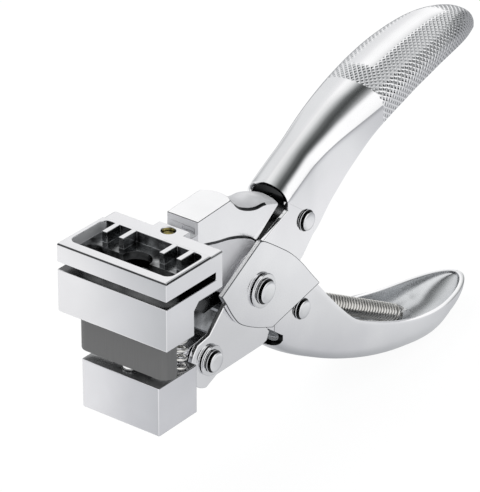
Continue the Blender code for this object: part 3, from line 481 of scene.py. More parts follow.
# bright on the outside, painted dark in the recess as painted shade with painted glints, painted
# dark in the slits, under the head, round the neck, in the gaps beside the tongue and along the top's rim
# as painted shade and painted reflection, satin on the recess's end wall and the tongue's shelf,
# ground on top, satin on the cheeks
head_chrome = plated("head_nickel_chrome", "#ECECEE", "#E6E6E8", 0.13, (1, 1, 8))
recess_shade = plated("painted_shade_in_recesses", "#BCBEC0", "#141414", 0.18, (1, 1, 8), 0.08, 230)
gap_shade = plated("painted_shade_in_slits_and_gaps", "#5C5D5E", "#3C3D3E", 0.26, (1, 1, 8))
satin_plate = plated("satin_plate_on_end_wall", "#D8D9DB", "#D0D1D3", 0.5, (1, 1, 8), metal=0.25)
top_plate = plated("ground_top_nickel_chrome", "#E5E5E7", "#E0E0E2", 0.14, (8, 1, 1))
cheek_plate = plated("satin_nickel_chrome_on_cheeks", "#EAEAED", "#E4E4E7", 0.5, (8, 1, 1), metal=0.15)
finish_piece(head, [head_chrome, recess_shade, gap_shade, satin_plate, top_plate, cheek_plate],
             "frame", "plated_body", "head_casting")

# Brass plug. A short turned brass pin pressed in behind the die; only its dull,
# darkened end shows at the bottom of its hole.
plug = eased("die_plug", "plug", 0.2 * mm)
brass = bpy.data.materials.new("dull_brass")
brass.use_nodes = True
tree = brass.node_tree
shader = tree.nodes["Principled BSDF"]
shader.inputs["Metallic"].default_value = 1.0
place = add(tree, "TexCoord").outputs["Object"]
stain = add(tree, "TexNoise", [("Vector", place)], Scale=1500.0, Detail=4.0)
for socket, stops in (("Base Color", [(0.35, "#5F5628"), (0.65, "#A0924A")]),
                      ("Roughness", [(0.2, "#A0A0A0"), (0.8, "#606060")])):
    tree.links.new(ramp(tree, stain.outputs["Fac"], stops), shader.inputs[socket])
finish_piece(plug, [brass], "frame", "plug_brass", "die_plug")

# Neck cap. A saddle folded from steel strip over the tongue, polished and plated. Its
# nose is flat, its back is round and dips to the handle, and its sides end in an arch.


def cut(piece, tool, solver="EXACT"):
    """Cut a closed shape out of another, and remove it."""
    pick(piece)
    step = piece.modifiers.new("cut", "BOOLEAN")
    step.operation = "DIFFERENCE"
    step.solver = solver
    step.object = tool
    bpy.ops.object.modifier_apply(modifier="cut")
    bpy.data.objects.remove(tool)


def break_edges(piece, width, segments, corner):
    """Round all edges that are sharper than a corner in degrees."""
    pick(piece)
    bevel = piece.modifiers.new("edge", "BEVEL")
    bevel.width = width
    bevel.segments = segments
    bevel.limit_method = "ANGLE"
    bevel.angle_limit = corner * degree
    bpy.ops.object.modifier_apply(modifier="edge")


# the saddle's round back in mm: its line at the edge, and how far it domes between the edges
edge_line = [(30.9, 22.0), (43.0, 18.9), (45.1, 16.69), (46.8, 14.75), (49.5, 12.2),
             (53.8, 10.0), (57.5, 8.95), (61.1, 8.7), (67.3, 6.79)]
dome_line = [(30.9, 2.6), (50.0, 2.6), (60.0, 2.3), (67.3, 1.6)]
cap_front, cap_back, arch_end, tail_slope = 30.9, 67.3, 57.1, 7.29 / 10.2
cap_half, columns, stations = 5.4 * mm, 20, 60
work = bmesh.new()
rows = []
for i in range(stations + 1):
    x = cap_front + (cap_back - cap_front) * i / stations
    # the lower edge: the arch, and behind it a straight rise from a small step down
    low = smooth(list(reversed(arch_line)), x)
    if x > arch_end:
        low += (x - arch_end) * tail_slope - 0.4
    row = []
    for k in range(columns + 1):
        y = math.sin((2 * k / columns - 1) * math.pi / 2)
        rise = smooth(edge_line, x) + smooth(dome_line, x) * (1 - y * y) ** 0.7
        row.append(work.verts.new((x * mm, y * cap_half, rise * mm)))
    row.append(work.verts.new((x * mm, cap_half, low * mm)))
    row.append(work.verts.new((x * mm, -cap_half, low * mm)))
    rows.append(row)
for first, second in zip(rows[:-1], rows[1:]):
    for k in range(len(first)):
        n = (k + 1) % len(first)
        work.faces.new((first[k], second[k], second[n], first[n]))
work.faces.new(rows[0])
work.faces.new(list(reversed(rows[-1])))
cap = solid("saddle", work)
flat_nose = [(29.0, 15.9), (30.9, 15.9), (45.1, 16.69), (52.0, 17.07), (52.0, 30), (29.0, 30)]
cut(cap, prism("nose_cut", metres(flat_nose), -9 * mm, 9 * mm))
room = [(29.0, 13.7), (45.1, 14.4), (49.5, 10.2), (53.8, 7.9), (57.5, 6.8), (61.1, 6.8), (69.0, 4.2),
        (69.0, -8), (29.0, -8)]
cut(cap, prism("room_cut", metres(room), -4.1 * mm, 4.1 * mm))
pick(cap)
bpy.ops.object.mode_set(mode="EDIT")
bpy.ops.mesh.select_all(action="DESELECT")
bpy.ops.object.mode_set(mode="OBJECT")
for face in cap.data.polygons:
    face.select = abs(face.normal.y) > 0.98 or face.center.z < 8 * mm
bpy.ops.object.mode_set(mode="EDIT")
bpy.ops.mesh.dissolve_limited(angle_limit=0.3 * degree)
bpy.ops.object.mode_set(mode="OBJECT")
break_edges(cap, 0.28 * mm, 2, 34)
# the cap's downward faces along its arched edge: painted shade, a dark line under the edge
mark_faces(cap, 1, lambda at, normal: normal.z < -0.1 and abs(at.y) > 3.9)
mark_faces(cap, 2, lambda at, normal: abs(normal.y) > 0.95)
# the strip's two folded ends show in the nose as thin leaves
leaves = []
for name, low_y, high_y, front in (("far_leaf", 0.3, 4.2, 30.95), ("near_leaf", -4.2, 0.2, 31.45)):
    outline = [(front, 10.9), (front, 13.75), (front + 0.8, 13.75), (front + 0.8, 10.9)]
    leaves.append(prism(name, metres(outline), low_y * mm, high_y * mm))
joined("saddle", [cap] + leaves)
soften(cap, 30)
mark_faces(cap, 3, lambda at, normal: normal.z > 0.2 and at.x > 46.5 or normal.x < -0.9 and at.x < 31.6)
# the crease behind the nose and the nose's rounded edges are painted dark, as painted shade and a painted
# reflection of the room's dark
mark_faces(cap, 1, lambda at, normal: 47.5 < at.x < 62 and 4.8 < abs(at.y) < 5.38 and normal.z > 0.1)
mark_faces(cap, 1, lambda at, normal: at.x < 45.5 and 0.2 < normal.z < 0.97 and (at.x < 31.3 or abs(at.y) > 5.0))
back_plate = plated("brushed_plate_on_saddle_back", "#EEEEF0", "#E6E6E8", 0.4, (1, 8, 1), metal=0.4)
crown_plate = plated("cap_nickel_chrome", "#FAFAFB", "#F5F5F6", 0.22, (1, 8, 1))
# the cap's sides: a darker copy of its plate as painted shade, and more polished
cap_side_shade = plated("cap_side_chrome_painted_darker", "#D2D2D4", "#CCCCCE", 0.13, (1, 1, 8))
finish_piece(cap, [crown_plate, gap_shade, cap_side_shade, back_plate], "frame", "plated_body", "neck_cap")

# Punch. Tool steel ground to the slot's outline and left unplated, so it is a
# flat dark grey with fine upright grinding lines.
blade = eased("punch", "blade", 0.15 * mm)
ground = bpy.data.materials.new("ground_tool_steel")
ground.use_nodes = True
tree = ground.node_tree
shader = tree.nodes["Principled BSDF"]
shader.inputs["Metallic"].default_value = 0.55
place = add(tree, "TexCoord").outputs["Object"]
stretch = add(tree, "Mapping", [("Vector", place)])
stretch.inputs["Scale"].default_value = (1, 1, 0.03)
lines = add(tree, "TexNoise", [("Vector", stretch.outputs[0])], Scale=2600.0, Detail=2.0)
grey = ramp(tree, lines.outputs["Fac"], [(0.3, "#757575"), (0.7, "#7B7B7B")])
tree.links.new(grey, shader.inputs["Base Color"])
rough = add(tree, "MapRange", [("Value", lines.outputs["Fac"])])
rough.inputs["To Min"].default_value = 0.48
rough.inputs["To Max"].default_value = 0.66
tree.links.new(rough.outputs[0], shader.inputs["Roughness"])
bump = add(tree, "Bump", [("Height", lines.outputs["Fac"])], Strength=0.05, Distance=0.00005)
tree.links.new(bump.outputs[0], shader.inputs["Normal"])
finish_piece(blade, [ground], "punch_slide", "punch_steel", "punch")

# Jaw. A steel block milled flat and plated, with a turned, polished stud pressed
# into its top, which lifts the punch.


def jaw_round(edge):
    """Wider on the jaw's outer edges."""
    ends = [vertex.co / mm for vertex in edge.verts]
    outer = [end.x < 20 and (end.z < -21.1 or abs(end.y) > 13.5 or end.x < 3.2) for end in ends]
    return 0.45 * mm if all(outer) else 0.2 * mm


jaw = eased("jaw_block", "jaw", jaw_round)
# the jaw's top, under the punch, is painted dark as painted shade
mark_faces(jaw, 1, lambda at, normal: at.z > -21.2 and normal.z > 0.9)
jaw_chrome = plated("jaw_nickel_chrome", "#E8E8EB", "#DFDFE2", 0.17, (1, 1, 8))
jaw_top_shade = plated("painted_shade_on_jaw_top", "#B0B1B2", "#6C6D6E", 0.2, metal=0.7)
finish_piece(jaw, [jaw_chrome, jaw_top_shade], "jaw", "plated_body", "jaw_block")
stud = eased("pressure_button", "stud", 0.0)
stud_steel = plated("stud_polished_steel", "#F4F4F4", "#E6E6E6", 0.08)
finish_piece(stud, [stud_steel], "jaw", "rivet_steel", "pressure_button")

# Pins and rivets. Turned from bright steel, their ends spun over into a flat
# dome with a narrow waist under it, over thin punched washers. The waist and the
# dome's side are painted dark, as painted shade and painted reflection.
spun = plated("spun_rivet_steel", "#F4F4F5", "#E6E7E8", 0.09)
# the waist's finish: painted shade and painted dark reflection
waist = plated("painted_shade_on_rivet_waist", "#3A3B3C", "#060606", 0.16, (1, 1, 1), 0.02, 200)


def spun_pin(name, x, z, radius, shank, top, inner, sides=(-1, 1)):
    """A turned pin along Y: collar, waist painted dark as painted shade, and domed head at each end, from inner to
    top.
    """
    # the head's line: share of its radius, depth below the top in mm, and finish, 1 where painted dark
    head_line = [(0, 0, 0), (0.42, 0.04, 0), (0.66, 0.12, 0), (0.79, 0.24, 0), (0.84, 0.36, 1), (0.80, 0.60, 1),
                 (0.80, 1.06, 1), (0.84, 1.14, 1), (0.97, 1.17, 0), (1.0, 1.22, 0), (1.0, 1.3, 0)]
    rows = [(share * radius, top - depth, mark) for share, depth, mark in head_line]
    rows += [(shank, top - 1.3, 0), (shank, inner, 0), (0, inner, 0)]
    count = 48
    spokes = [2 * math.pi * k / count for k in range(count)]
    work = bmesh.new()
    for side_way in sides:
        rings = []
        for size, reach, mark in rows:
            around = [(x + size * math.cos(spoke), z + size * math.sin(spoke)) for spoke in spokes if size]
            y = side_way * reach * mm
            rings.append([work.verts.new((a * mm, y, b * mm)) for a, b in around or [(x, z)]])
        for row, first, second in zip(rows, rings[:-1], rings[1:]):
            for k in range(count):
                n = (k + 1) % count
                corners = (first[k % len(first)], first[n % len(first)],
                           second[n % len(second)], second[k % len(second)])
                face = work.faces.new(list(dict.fromkeys(corners)))
                face.material_index = row[2]
    pin = solid(name, work)
    pick(pin)
    bpy.ops.object.shade_smooth_by_angle(angle=40 * degree)
    return pin


for name, node, radius, shank, body in (("pivot_rivet", "pivot_pin", 3.9, 3.3, "frame"),
                                        ("jaw_rivet", "jaw_pin", 3.4, 2.7, "lever"),
                                        ("handle_rivet", "upper_rivet", 3.3, 1.9, "lever")):
    low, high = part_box(node)
    middle = (low + high) / 2 / mm
    rivet = spun_pin(name, middle.x, middle.z, radius, shank, high.y / mm, 0)
    finish_piece(rivet, [spun, waist], body, "rivet_steel", node)
for side_name, side_way in (("near", -1), ("far", 1)):
    low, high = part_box("lower_rivet_" + side_name)
    middle = (low + high) / 2 / mm
    inner, top = sorted((abs(low.y) / mm, abs(high.y) / mm))
    rivet = spun_pin("tail_rivet_" + side_name, middle.x, middle.z, 3.3, 1.9, top, inner, (side_way,))
    finish_piece(rivet, [spun, waist], "frame", "rivet_steel", "lower_rivet_" + side_name)
washer_steel = plated("punched_washer_steel", "#F0F0F1", "#DCDDDE", 0.12)
for pin_name, body in (("pivot", "frame"), ("jaw", "lever")):
    for node in (pin_name + "_washer_near", pin_name + "_washer_far"):
        washer = eased(node, node + "_ring", 0.3 * mm, 4, 40)
        finish_piece(washer, [washer_steel], body, "rivet_steel", node)
hidden_steel = plated("turned_spacer_steel", "#B5B5B6", "#9A9A9C", 0.35)
for node in ("handle_spacer", "spring_hook_pin"):
    finish_piece(eased(node, node + "_turned", 0.2 * mm), [hidden_steel], "lever", "rivet_steel", node)

# Handles. Each is one stamping of 1.5 mm steel sheet drawn into a channel with
# round shoulders and a closed tip, polished and nickel-chrome plated.
sheet = 1.5 * mm
pivot = Vector((55.0 * mm, 0, -14.3 * mm))
flare, belly, tip = pivot.x + 27.0 * mm, pivot.x + 72.5 * mm, pivot.x + 113.0 * mm
straight_half, belly_half = 7.3 * mm, 11.8 * mm


def half_width(x):
    """Half the channel's width: parallel, then swelling, then round to the tip."""
    if x <= flare:
        return straight_half
    if x <= belly:
        rise = [(0, 0), (0.10, 0.10), (0.22, 0.28), (0.40, 0.57), (0.60, 0.82), (0.80, 0.96), (1.0, 1.0)]
        return straight_half + smooth(rise, (x - flare) / (belly - flare)) * (belly_half - straight_half)
    return belly_half * math.sqrt(max(0, 1 - ((x - belly) / (tip - belly)) ** 2))


def section(half, radius, crown_slope, share):
    """A place on the channel's half section: across, down from the crown, and along the metal."""
    end = half - radius + radius * math.sin(crown_slope)
    big = end / math.sin(crown_slope)
    total = big * (1 - math.cos(crown_slope)) + radius * math.cos(crown_slope)
    if share > 0.5:
        turned_by = crown_slope * (1 - share) / 0.5
        return big * math.sin(turned_by), big * (1 - math.cos(turned_by)), big * turned_by
    turned_by = (math.pi / 2 - crown_slope) * share / 0.5
    metal = big * crown_slope + radius * (math.pi / 2 - crown_slope - turned_by)
    return half - radius + radius * math.cos(turned_by), total - radius * math.sin(turned_by), metal


def channel(name, finishes, start, crown, rim, corner, slope, way):
    """The drawn channel: a grid laid over its stations, then thickened inwards. Crown and
    rim give its heights at each X, corner its shoulders' radius and slope how steep the crown
    meets them; way is 1 where it opens downwards and -1 where it opens upwards. Its UV map
    is the flat sheet, in metres from the channel's start and from its middle line."""
    flank_share = 0.3
    bpy.ops.object.select_all(action="DESELECT")
    bpy.ops.mesh.primitive_grid_add(x_subdivisions=110, y_subdivisions=48, size=1)
    shell = bpy.context.object
    shell.name = name
    places = {}
    for vertex in shell.data.vertices:
        s, t = vertex.co.x + 0.5, vertex.co.y + 0.5
        # the stations lie closer together towards the round tip
        x = min(start + (tip - start) * math.sin(s * math.pi / 2) ** 0.9, tip)
        half = max(half_width(x), 0.02 * mm)
        top, low = crown(x), rim(x)
        radius = min(corner(x), half * 0.75, abs(top - low) * 0.85)
        mirrored, u = (1, 2 - 2 * t) if t > 0.5 else (-1, 2 * t)
        if u < flank_share:
            y, down, length = section(half, radius, slope(x), 0)
            flank_top = top - way * down
            y, z = half, low + (flank_top - low) * u / flank_share
            length += abs(z - flank_top)
        else:
            y, down, length = section(half, radius, slope(x), (u - flank_share) / (1 - flank_share))
            z = top - way * down
        places[vertex.index] = (x - start, mirrored * length)
        vertex.co = (x, mirrored * y, z)
    uv = shell.data.uv_layers[0]
    for loop in shell.data.loops:
        uv.data[loop.index].uv = places[loop.vertex_index]
    bpy.ops.object.mode_set(mode="EDIT")
    bpy.ops.mesh.select_all(action="SELECT")
    bpy.ops.mesh.remove_doubles(threshold=0.02 * mm)
    bpy.ops.object.mode_set(mode="OBJECT")
    work = bmesh.new()
    work.from_mesh(shell.data)
    bmesh.ops.recalc_face_normals(work, faces=work.faces)
    if sum(face.normal.z * way * face.calc_area() for face in work.faces) < 0:
        bmesh.ops.reverse_faces(work, faces=work.faces)
    work.to_mesh(shell.data)
    work.free()
    stamped(shell, finishes)
    wall = shell.modifiers.new("wall", "SOLIDIFY")
    wall.thickness = sheet
    wall.offset = -1
    wall.use_even_offset = True
    wall.use_quality_normals = True
    wall.material_offset = 1
    bpy.ops.object.modifier_apply(modifier="wall")
    break_edges(shell, 0.3 * mm, 3, 50)
    bpy.ops.object.shade_smooth_by_angle(angle=50 * degree)
    return shell


def rounded(points, steps=6):
    """The same outline with a smooth curve through its points."""
    made = []
    for k in range(len(points) - 1):
        a, b, c, d = points[max(k - 1, 0)], points[k], points[k + 1], points[min(k + 2, len(points) - 1)]
        for step in range(steps):
            t = step / steps
            made.append(tuple(0.5 * (2 * b[i] + (c[i] - a[i]) * t + (2 * a[i] - 5 * b[i] + 4 * c[i] - d[i]) * t * t
                                     + (3 * b[i] - a[i] - 3 * c[i] + d[i]) * t ** 3) for i in (0, 1)))
    return made + [points[-1]]


def arc(x, z, radius, start, end, count):
    """Points round a centre, angles in degrees."""
    angles = [(start + (end - start) * k / count) * degree for k in range(count + 1)]
    return [(x + radius * math.cos(angle), z + radius * math.sin(angle)) for angle in angles]


def from_pivot(pairs, size):
    """Places given from the pivot, as shares of a size."""
    return [(pivot.x + a * size, pivot.z + b * size) for a, b in pairs]


def stamped(piece, finishes):
    """Give a part of a stamping all the stamping's finishes, before it is joined."""
    for finish in finishes:
        piece.data.materials.append(finish)
    return piece


def flank(name, outline, low_y, thick, holes, finishes):
    """A flat stretch of the stamping, cut to its outline, drilled and with broken edges."""
    plate = prism(name, outline, low_y, low_y + thick)
    for x, z, radius in holes:
        bpy.ops.mesh.primitive_cylinder_add(vertices=40, radius=radius, depth=60 * mm,
                                            location=(x, 0, z), rotation=(90 * degree, 0, 0))
        cut(plate, bpy.context.object)
    break_edges(plate, 0.35 * mm, 3, 40)
    return stamped(soften(plate, 40), finishes)


# Upper handle. The stamping's flanks run on as two flat arms down to the jaw, and
# a diamond knurl is rolled into its grip, round a smooth panel.
grip = plated("knurled_handle_chrome", "#F6F6F7", "#F0F0F1", 0.09, (1, 1, 1), 0.01)
tree = grip.node_tree
shader = tree.nodes["Principled BSDF"]
laid = add(tree, "UVMap", uv_map="UVMap").outputs[0]
parts = add(tree, "SeparateXYZ", [(0, laid)])
from_start, from_middle = parts.outputs["X"], parts.outputs["Y"]
# diamond cells of about 1.2 mm, drawn as two crossing sets of rolled grooves
pitch = 2 * math.pi / (1.25 * mm)
waves = []
for way in (1, -1):
    mixed = add(tree, "VectorMath", [(0, laid)], operation="DOT_PRODUCT")
    mixed.inputs[1].default_value = (0.70 * pitch, way * 0.72 * pitch, 0)
    waves.append(add(tree, "Math", [(0, mixed.outputs["Value"])], operation="SINE").outputs[0])
cell = add(tree, "Math", [(0, waves[0]), (1, waves[1])], operation="MAXIMUM").outputs[0]
# where it is rolled, by the sheet's flat lengths: all round the band in front and the tip,
# and on both sides of the smooth panel
mask = fade(tree, from_middle, -1.6 * mm, -2.6 * mm)
for other in (fade(tree, from_middle, 6.4 * mm, 7.6 * mm), fade(tree, from_start, 48.5 * mm, 46.5 * mm),
              fade(tree, from_start, 84.0 * mm, 86.5 * mm)):
    mask = add(tree, "Math", [(0, mask), (1, other)], operation="MAXIMUM").outputs[0]
begins = fade(tree, from_start, 40.3 * mm, 40.9 * mm)
mask = add(tree, "Math", [(0, begins), (1, mask)], operation="MULTIPLY").outputs[0]
knurl = add(tree, "Math", [(0, cell), (1, mask)], operation="MULTIPLY").outputs[0]
polish = tree.nodes["Bump"].outputs[0]
rolled = add(tree, "Bump", [("Height", knurl), ("Normal", polish)], Strength=1.0, Distance=0.09 * mm)
tree.links.new(rolled.outputs[0], shader.inputs["Normal"])
# the knurl's pits are painted darker, as painted shade in the grooves
pit_shade = add(tree, "Math", [(0, fade(tree, cell, 0.75, -0.4)), (1, mask)], operation="MULTIPLY").outputs[0]
old_tint = shader.inputs["Base Color"].links[0].from_socket
tree.links.new(blend(tree, old_tint, colour("#C0C2C4"), pit_shade), shader.inputs["Base Color"])
# the insides of the handles' channels and the lower handle's notch: painted shade
shaded = plated("painted_shade_inside_handles", "#343536", "#161717", 0.3)
# the arms' inner faces: light streaks low down as painted reflection, and painted shade higher up
arm_inside_shade_and_streaks = plated("painted_shade_and_streaks_inside_arms", "#C8CACC", "#2C2D2D", 0.28, (1, 1, 9), 0.0, 160)
tree = arm_inside_shade_and_streaks.node_tree
shader = tree.nodes["Principled BSDF"]
painted_streaks = shader.inputs["Base Color"].links[0].from_socket
shade_higher_up = fade(tree, add(tree, "TexCoord").outputs["Object"], -18.0 * mm, -12.0 * mm, (0, 0, 1))
tree.links.new(blend(tree, painted_streaks, colour("#060606"), shade_higher_up), shader.inputs["Base Color"])
finishes = [grip, shaded, arm_inside_shade_and_streaks]
upper_start = pivot.x + 14.5 * mm
# the crown's rise and the flank's depth, as shares, from the start to the tip
crown_rise = [(0, 0), (0.12, 0.27), (0.248, 0.504), (0.4325, 0.733), (0.60, 0.90), (0.78, 1.0), (0.894, 0.975),
              (0.962, 0.87), (1.0, 0.68)]
flank_drop = [(0, 0.45), (0.06, 0.70), (0.118, 1.0), (0.203, 0.80), (0.282, 0.60), (0.38, 0.42), (0.52, 0.33),
              (0.68, 0.285), (0.86, 0.27), (1.0, 0.14)]


def upper_crown(x):
    """The height of the crown."""
    return pivot.z + 24.4 * mm + smooth(crown_rise, (x - upper_start) / (tip - upper_start)) * 23.6 * mm


def upper_rim(x):
    """The height of the flanks' lower edge."""
    return upper_crown(x) - 24.8 * mm * smooth(flank_drop, (x - upper_start) / (tip - upper_start))


def swell(x):
    """How far the channel has widened, from 0 to 1."""
    return (half_width(min(x, belly)) - straight_half) / (belly_half - straight_half)


upper_shell = channel("upper_shell", finishes, upper_start, lambda x: upper_crown(x) + 0.55 * mm, upper_rim,
                      lambda x: (4.6 + 0.6 * swell(x)) * mm, lambda x: (22 - 8 * swell(x)) * degree, 1)
reach = 21.4 * mm
jaw_x, jaw_z = pivot.x - reach, pivot.z - 13.5 * mm
front_edge = [(-1.00, -0.27), (-0.66, 0.05), (-0.25, 0.40), (0.16, 0.635), (0.62, 0.835), (0.675, 0.86),
              (0.70, 0.90), (0.70, 0.98)]
under_edge = [(0.29, -0.78), (0.235, -0.90), (0.12, -0.925), (-0.85, -0.93)]
low_end = upper_rim(flare)
arm_outline = arc(jaw_x, jaw_z, 8.5 * mm, 260, 128, 22) + from_pivot(front_edge, reach)
arm_outline += [(flare, pivot.z + 12.2 * mm), (flare, low_end), (pivot.x + 22.05 * mm, low_end - 5.1 * mm)]
arm_outline += arc(pivot.x, pivot.z, 14.3 * mm, -20, -74, 14) + from_pivot(under_edge, reach)
arm_holes = [(pivot.x, pivot.z, 3.5 * mm), (jaw_x, jaw_z, 2.8 * mm)]
arms = [flank("arm", arm_outline, low, 1.56 * mm, arm_holes, finishes) for low in (-7.33 * mm, 5.77 * mm)]
for arm in arms:
    # the arms' inner faces take the painted streaks and painted shade
    mark_faces(arm, 2, lambda at, normal: abs(at.y) < 5.9 and abs(normal.y) > 0.9)
lever_handle = joined("grip_lever", [upper_shell] + arms)
finish_piece(lever_handle, finishes, "lever", "plated_handle", "upper_handle")

# Lower handle. Its flanks step outwards at a joggle into two ears round the arms, and
# a notch is left open in front of it; the channel is open towards the top.
lower_chrome = plated("lower_handle_chrome", "#F4F4F5", "#ECECEE", 0.12, (8, 1, 1))
spoon_plate = plated("less_polished_plate_in_spoon", "#E2E3E5", "#D2D4D6", 0.27, (8, 1, 1), 0.04)
cut_edge = plated("sheared_edge_of_sheet", "#C6C8CA", "#BCBEC0", 0.3)
# the ears' bevelled edges: painted shade
ear_edge_shade = plated("painted_shade_on_ear_edges", "#6E7072", "#626466", 0.3)
# the ears' front edges: painted highlight
ear_edge_highlight = plated("painted_highlight_on_front_edges_of_ears", "#FFFFFF", "#FAFAFA", 0.45, metal=0.1)
lower_finishes = [lower_chrome, spoon_plate, shaded, cut_edge, ear_edge_shade, ear_edge_highlight]
lower_start = pivot.x + 8.4 * mm
# how far the floor and the rim have come down, as shares, towards the tip
floor_fall = [(0, 0), (0.09, 0.24), (0.222, 0.49), (0.322, 0.64), (0.453, 0.79), (0.587, 0.90), (0.744, 0.985),
              (0.86, 0.945), (0.95, 0.85), (1.0, 0.78)]
rim_drop = [(0, 0), (0.065, 0.19), (0.135, 0.385), (0.205, 0.55), (0.28, 0.65), (0.44, 0.81), (0.575, 0.91),
            (0.73, 0.98), (0.87, 1.0), (1.0, 1.0)]


def lower_floor(x):
    """The height of the floor's line."""
    return pivot.z - 22.6 * mm - smooth(floor_fall, (x - lower_start) / (tip - lower_start)) * 31.2 * mm


def lower_rim(x):
    """The height of the flanks' upper edge."""
    back = pivot.z - 14.1 * mm + 5.3 * mm
    if x <= flare:
        return back - 5.3 * mm * (flare - x) / (flare - lower_start)
    return back - smooth(rim_drop, (x - flare) / (tip - flare)) * 36.4 * mm


def spoon(x):
    """The radius of the shoulders, which grows towards the tip."""
    start = belly - 27.0 * mm
    return 3.6 * mm + max(0, (x - start) / (tip - start)) * 4.4 * mm


def lower_crown(x):
    """The height of the underside's middle line, which bulges out of the floor's line."""
    return lower_floor(x) - 0.12 * min(spoon(x), 0.75 * half_width(x)) + 0.05 * mm


lower_shell = channel("lower_shell", lower_finishes, lower_start, lower_crown, lower_rim, spoon,
                      lambda x: 12 * degree, -1)
# the notch in each flank: a round end, and a slot from it that runs out at the front
notch_at = Vector((lower_start + 1.9 * mm, 0, lower_floor(lower_start) + 0.6 * mm))
notch_radius, notch_run = 2.2 * mm, Vector((0.79, 0, -0.61))
flank_sides = (Vector((0, -9.7 * mm, 0)), Vector((0, 9.7 * mm, 0)))
for shift in flank_sides:
    bpy.ops.mesh.primitive_cylinder_add(vertices=40, radius=notch_radius, depth=12 * mm,
                                        location=notch_at + shift, rotation=(90 * degree, 0, 0))
    cut(lower_shell, bpy.context.object, solver="MANIFOLD")
for shift in flank_sides:
    bpy.ops.mesh.primitive_cube_add(size=1, location=notch_at - notch_run * 4 * mm + shift,
                                    rotation=(0, math.atan2(0.61, 0.79), 0),
                                    scale=(8 * mm, 12 * mm, 2 * notch_radius))
    cut(lower_shell, bpy.context.object, solver="MANIFOLD")
# the notch's walls and the channel's inside near it are painted dark, as painted shade
for face in lower_shell.data.polygons:
    off = (face.center - notch_at) / mm
    inside = face.material_index == 1 and off.x < 9 and off.z < 9
    slot_wall = off.x < 0 and abs(off.x * 0.61 + off.z * 0.79) < 2.3 and abs(face.normal.y) < 0.9
    if face.normal.x < -0.6 and off.x < 0 and off.z > 2.0:
        face.material_index = 3
    elif inside or slot_wall or math.hypot(off.x, off.z) < 2.3:
        face.material_index = 2
ear_size = 27.0 * mm
top_arc = [(-0.02, 0.575), (0.07, 0.54), (0.32, 0.365), (0.52, 0.21), (0.70, 0.03), (0.86, -0.16)]
heel = [(-0.04, -0.44), (-0.22, -0.345), (-0.38, -0.235), (-0.50, -0.08), (-0.60, 0.09)]
# the joggle's upper line, from the notch to the rim behind the rivets
joggle_line = metres([(60.2, -28.75), (82.7, -23.9)])
ear_line = from_pivot([(-0.67, 0.20)], ear_size) + rounded(from_pivot(top_arc, ear_size))
ear_line += list(reversed(joggle_line)) + rounded(from_pivot(heel, ear_size))
ear_holes = [(pivot.x, pivot.z, 3.5 * mm)]
ears = [flank("ear", ear_line, low, sheet, ear_holes, lower_finishes) for low in (-9.1 * mm, 7.6 * mm)]
for ear in ears:
    # painted shade on the ears' bevelled edges
    mark_faces(ear, 4, lambda at, normal: 0.1 < abs(normal.y) < 0.97 and abs(at.y) > 8.3)
    # painted highlight on the ears' front edges
    mark_faces(ear, 5, lambda at, normal: abs(normal.y) < 0.1 and normal.x < -0.3 and normal.z > 0.3)
# the step between ear and flank: its places across in mm, and their height as a share of the step
step_up = 1.0 * mm
joggle_section = [(9.1, 1.0), (8.9, 0.75), (7.5, 0.25), (7.3, 0), (5.8, 0), (6.0, 0.3), (7.4, 0.8), (7.6, 1.0)]
for side_way in (-1, 1):
    work = bmesh.new()
    rows = [[work.verts.new((x, side_way * y * mm, z + step_up * (up - 1))) for y, up in joggle_section]
            for x, z in joggle_line]
    for k in range(len(joggle_section)):
        n = (k + 1) % len(joggle_section)
        work.faces.new((rows[0][k], rows[0][n], rows[1][n], rows[1][k]))
    for row in rows:
        work.faces.new(row)
    ears.append(stamped(soften(solid("joggle", work), 50), lower_finishes))
fronts = metres([(60.6, -29.0), (63.6, -28.3), (63.6, -32.2), (60.6, -29.95)])
for low in (-7.3 * mm, 5.85 * mm):
    ears.append(stamped(prism("flank_front", fronts, low, low + 1.45 * mm), lower_finishes))
base_handle = joined("base_handle", [lower_shell] + ears)
finish_piece(base_handle, lower_finishes, "frame", "plated_handle", "lower_handle")

# Spring anchor. A small folded steel bracket on the lower handle's floor, which holds
# the pull spring's rear hook.
anchor = eased("spring_anchor", "anchor", 0.12 * mm)
anchor_steel = plated("anchor_steel", "#D8D8D9", "#C2C3C4", 0.25)
finish_piece(anchor, [anchor_steel], "frame", "rivet_steel", "spring_anchor")

# Springs. Drawn spring wire, wound cold and left bright: one long pull spring in
# the lower handle and two short ones that stand between the head and the jaw.
wire_steel = plated("drawn_spring_wire", "#E8E7E4", "#CFCDC9", 0.18, (1, 1, 1), 0.05)


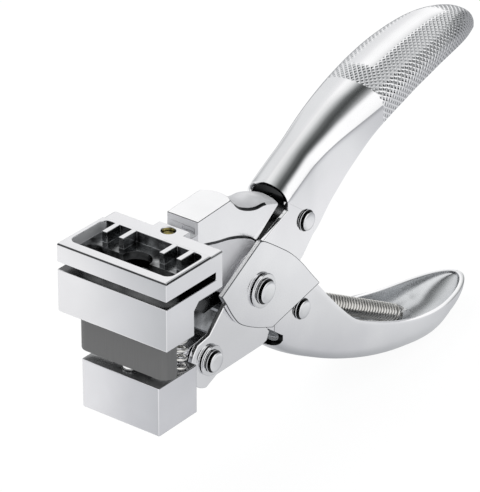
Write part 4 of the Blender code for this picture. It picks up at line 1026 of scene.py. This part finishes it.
def wound(name, points, wire):
    """A smooth round wire along its points."""
    path = bpy.data.curves.new(name, "CURVE")
    path.dimensions = "3D"
    path.bevel_depth = wire / 2
    path.bevel_resolution = 3
    path.use_fill_caps = True
    line = path.splines.new("POLY")
    line.points.add(len(points) - 1)
    for point, at in zip(line.points, points):
        point.co = (*at, 1)
    pick(placed(name, path))
    bpy.ops.object.convert(target="MESH")
    bpy.ops.object.shade_smooth_by_angle(angle=60 * degree)
    return bpy.context.object


for node, way in (("return_spring_near", -1), ("return_spring_far", 1)):
    low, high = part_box(node)
    wire, turns = 0.9 * mm, 9
    radius = (high.x - low.x) / 2 - wire / 2
    middle = Vector(((low.x + high.x) / 2, (low.y + high.y) / 2, 0))
    count = turns * 28
    coil = []
    for k in range(count + 1):
        angle = 2 * math.pi * turns * k / count
        height = low.z + wire / 2 + (high.z - low.z - wire) * k / count
        coil.append(middle + Vector((radius * math.cos(angle), way * radius * math.sin(angle), height)))
    spring = finish_piece(wound(node + "_wire", coil, wire), [wire_steel], "frame", "spring_steel", node)
    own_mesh(spring)

hook = Vector((pivot.x + 9.4 * mm * math.cos(-43 * degree), 0, pivot.z + 9.4 * mm * math.sin(-43 * degree)))
end_x = pivot.x + 81.5 * mm
end = Vector((end_x, 0, lower_floor(end_x) + sheet + 4.5 * mm))
along = (end - hook).normalized()
cross = Vector((-along.z, 0, along.x))
wire, turns, radius, clearance = 1.1 * mm, 47, 3.0 * mm - 0.55 * mm, 0.3 * mm


def hooked(centre, bar, from_angle, to_angle):
    """Points of a hook round a bar, every ten degrees."""
    size = bar + clearance + wire / 2
    return [centre + (along * math.cos(a * degree) + cross * math.sin(a * degree)) * size
            for a in range(from_angle, to_angle, -10)]


coil = hooked(hook, 1.5 * mm, 250, 89)
first, last = hook + along * 4.6 * mm, end - along * 4.6 * mm
count = turns * 20
pitch_length = (last - first).length / turns
for k in range(count + 1):
    angle = 2 * math.pi * turns * k / count
    shift = pitch_length * 0.4 * (max(0, 1 - (count - k) / 10) - max(0, 1 - k / 10))
    at = first.lerp(last, k / count) + along * shift
    coil.append(at + cross * math.cos(angle) * radius + Vector((0, 1, 0)) * math.sin(angle) * radius)
coil += hooked(end, 1.1 * mm, 90, -71)
pull_spring = wound("pull_spring_wire", coil, wire)
finish_piece(pull_spring, [wire_steel], None, "spring_steel", "handle_spring")
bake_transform(pull_spring)
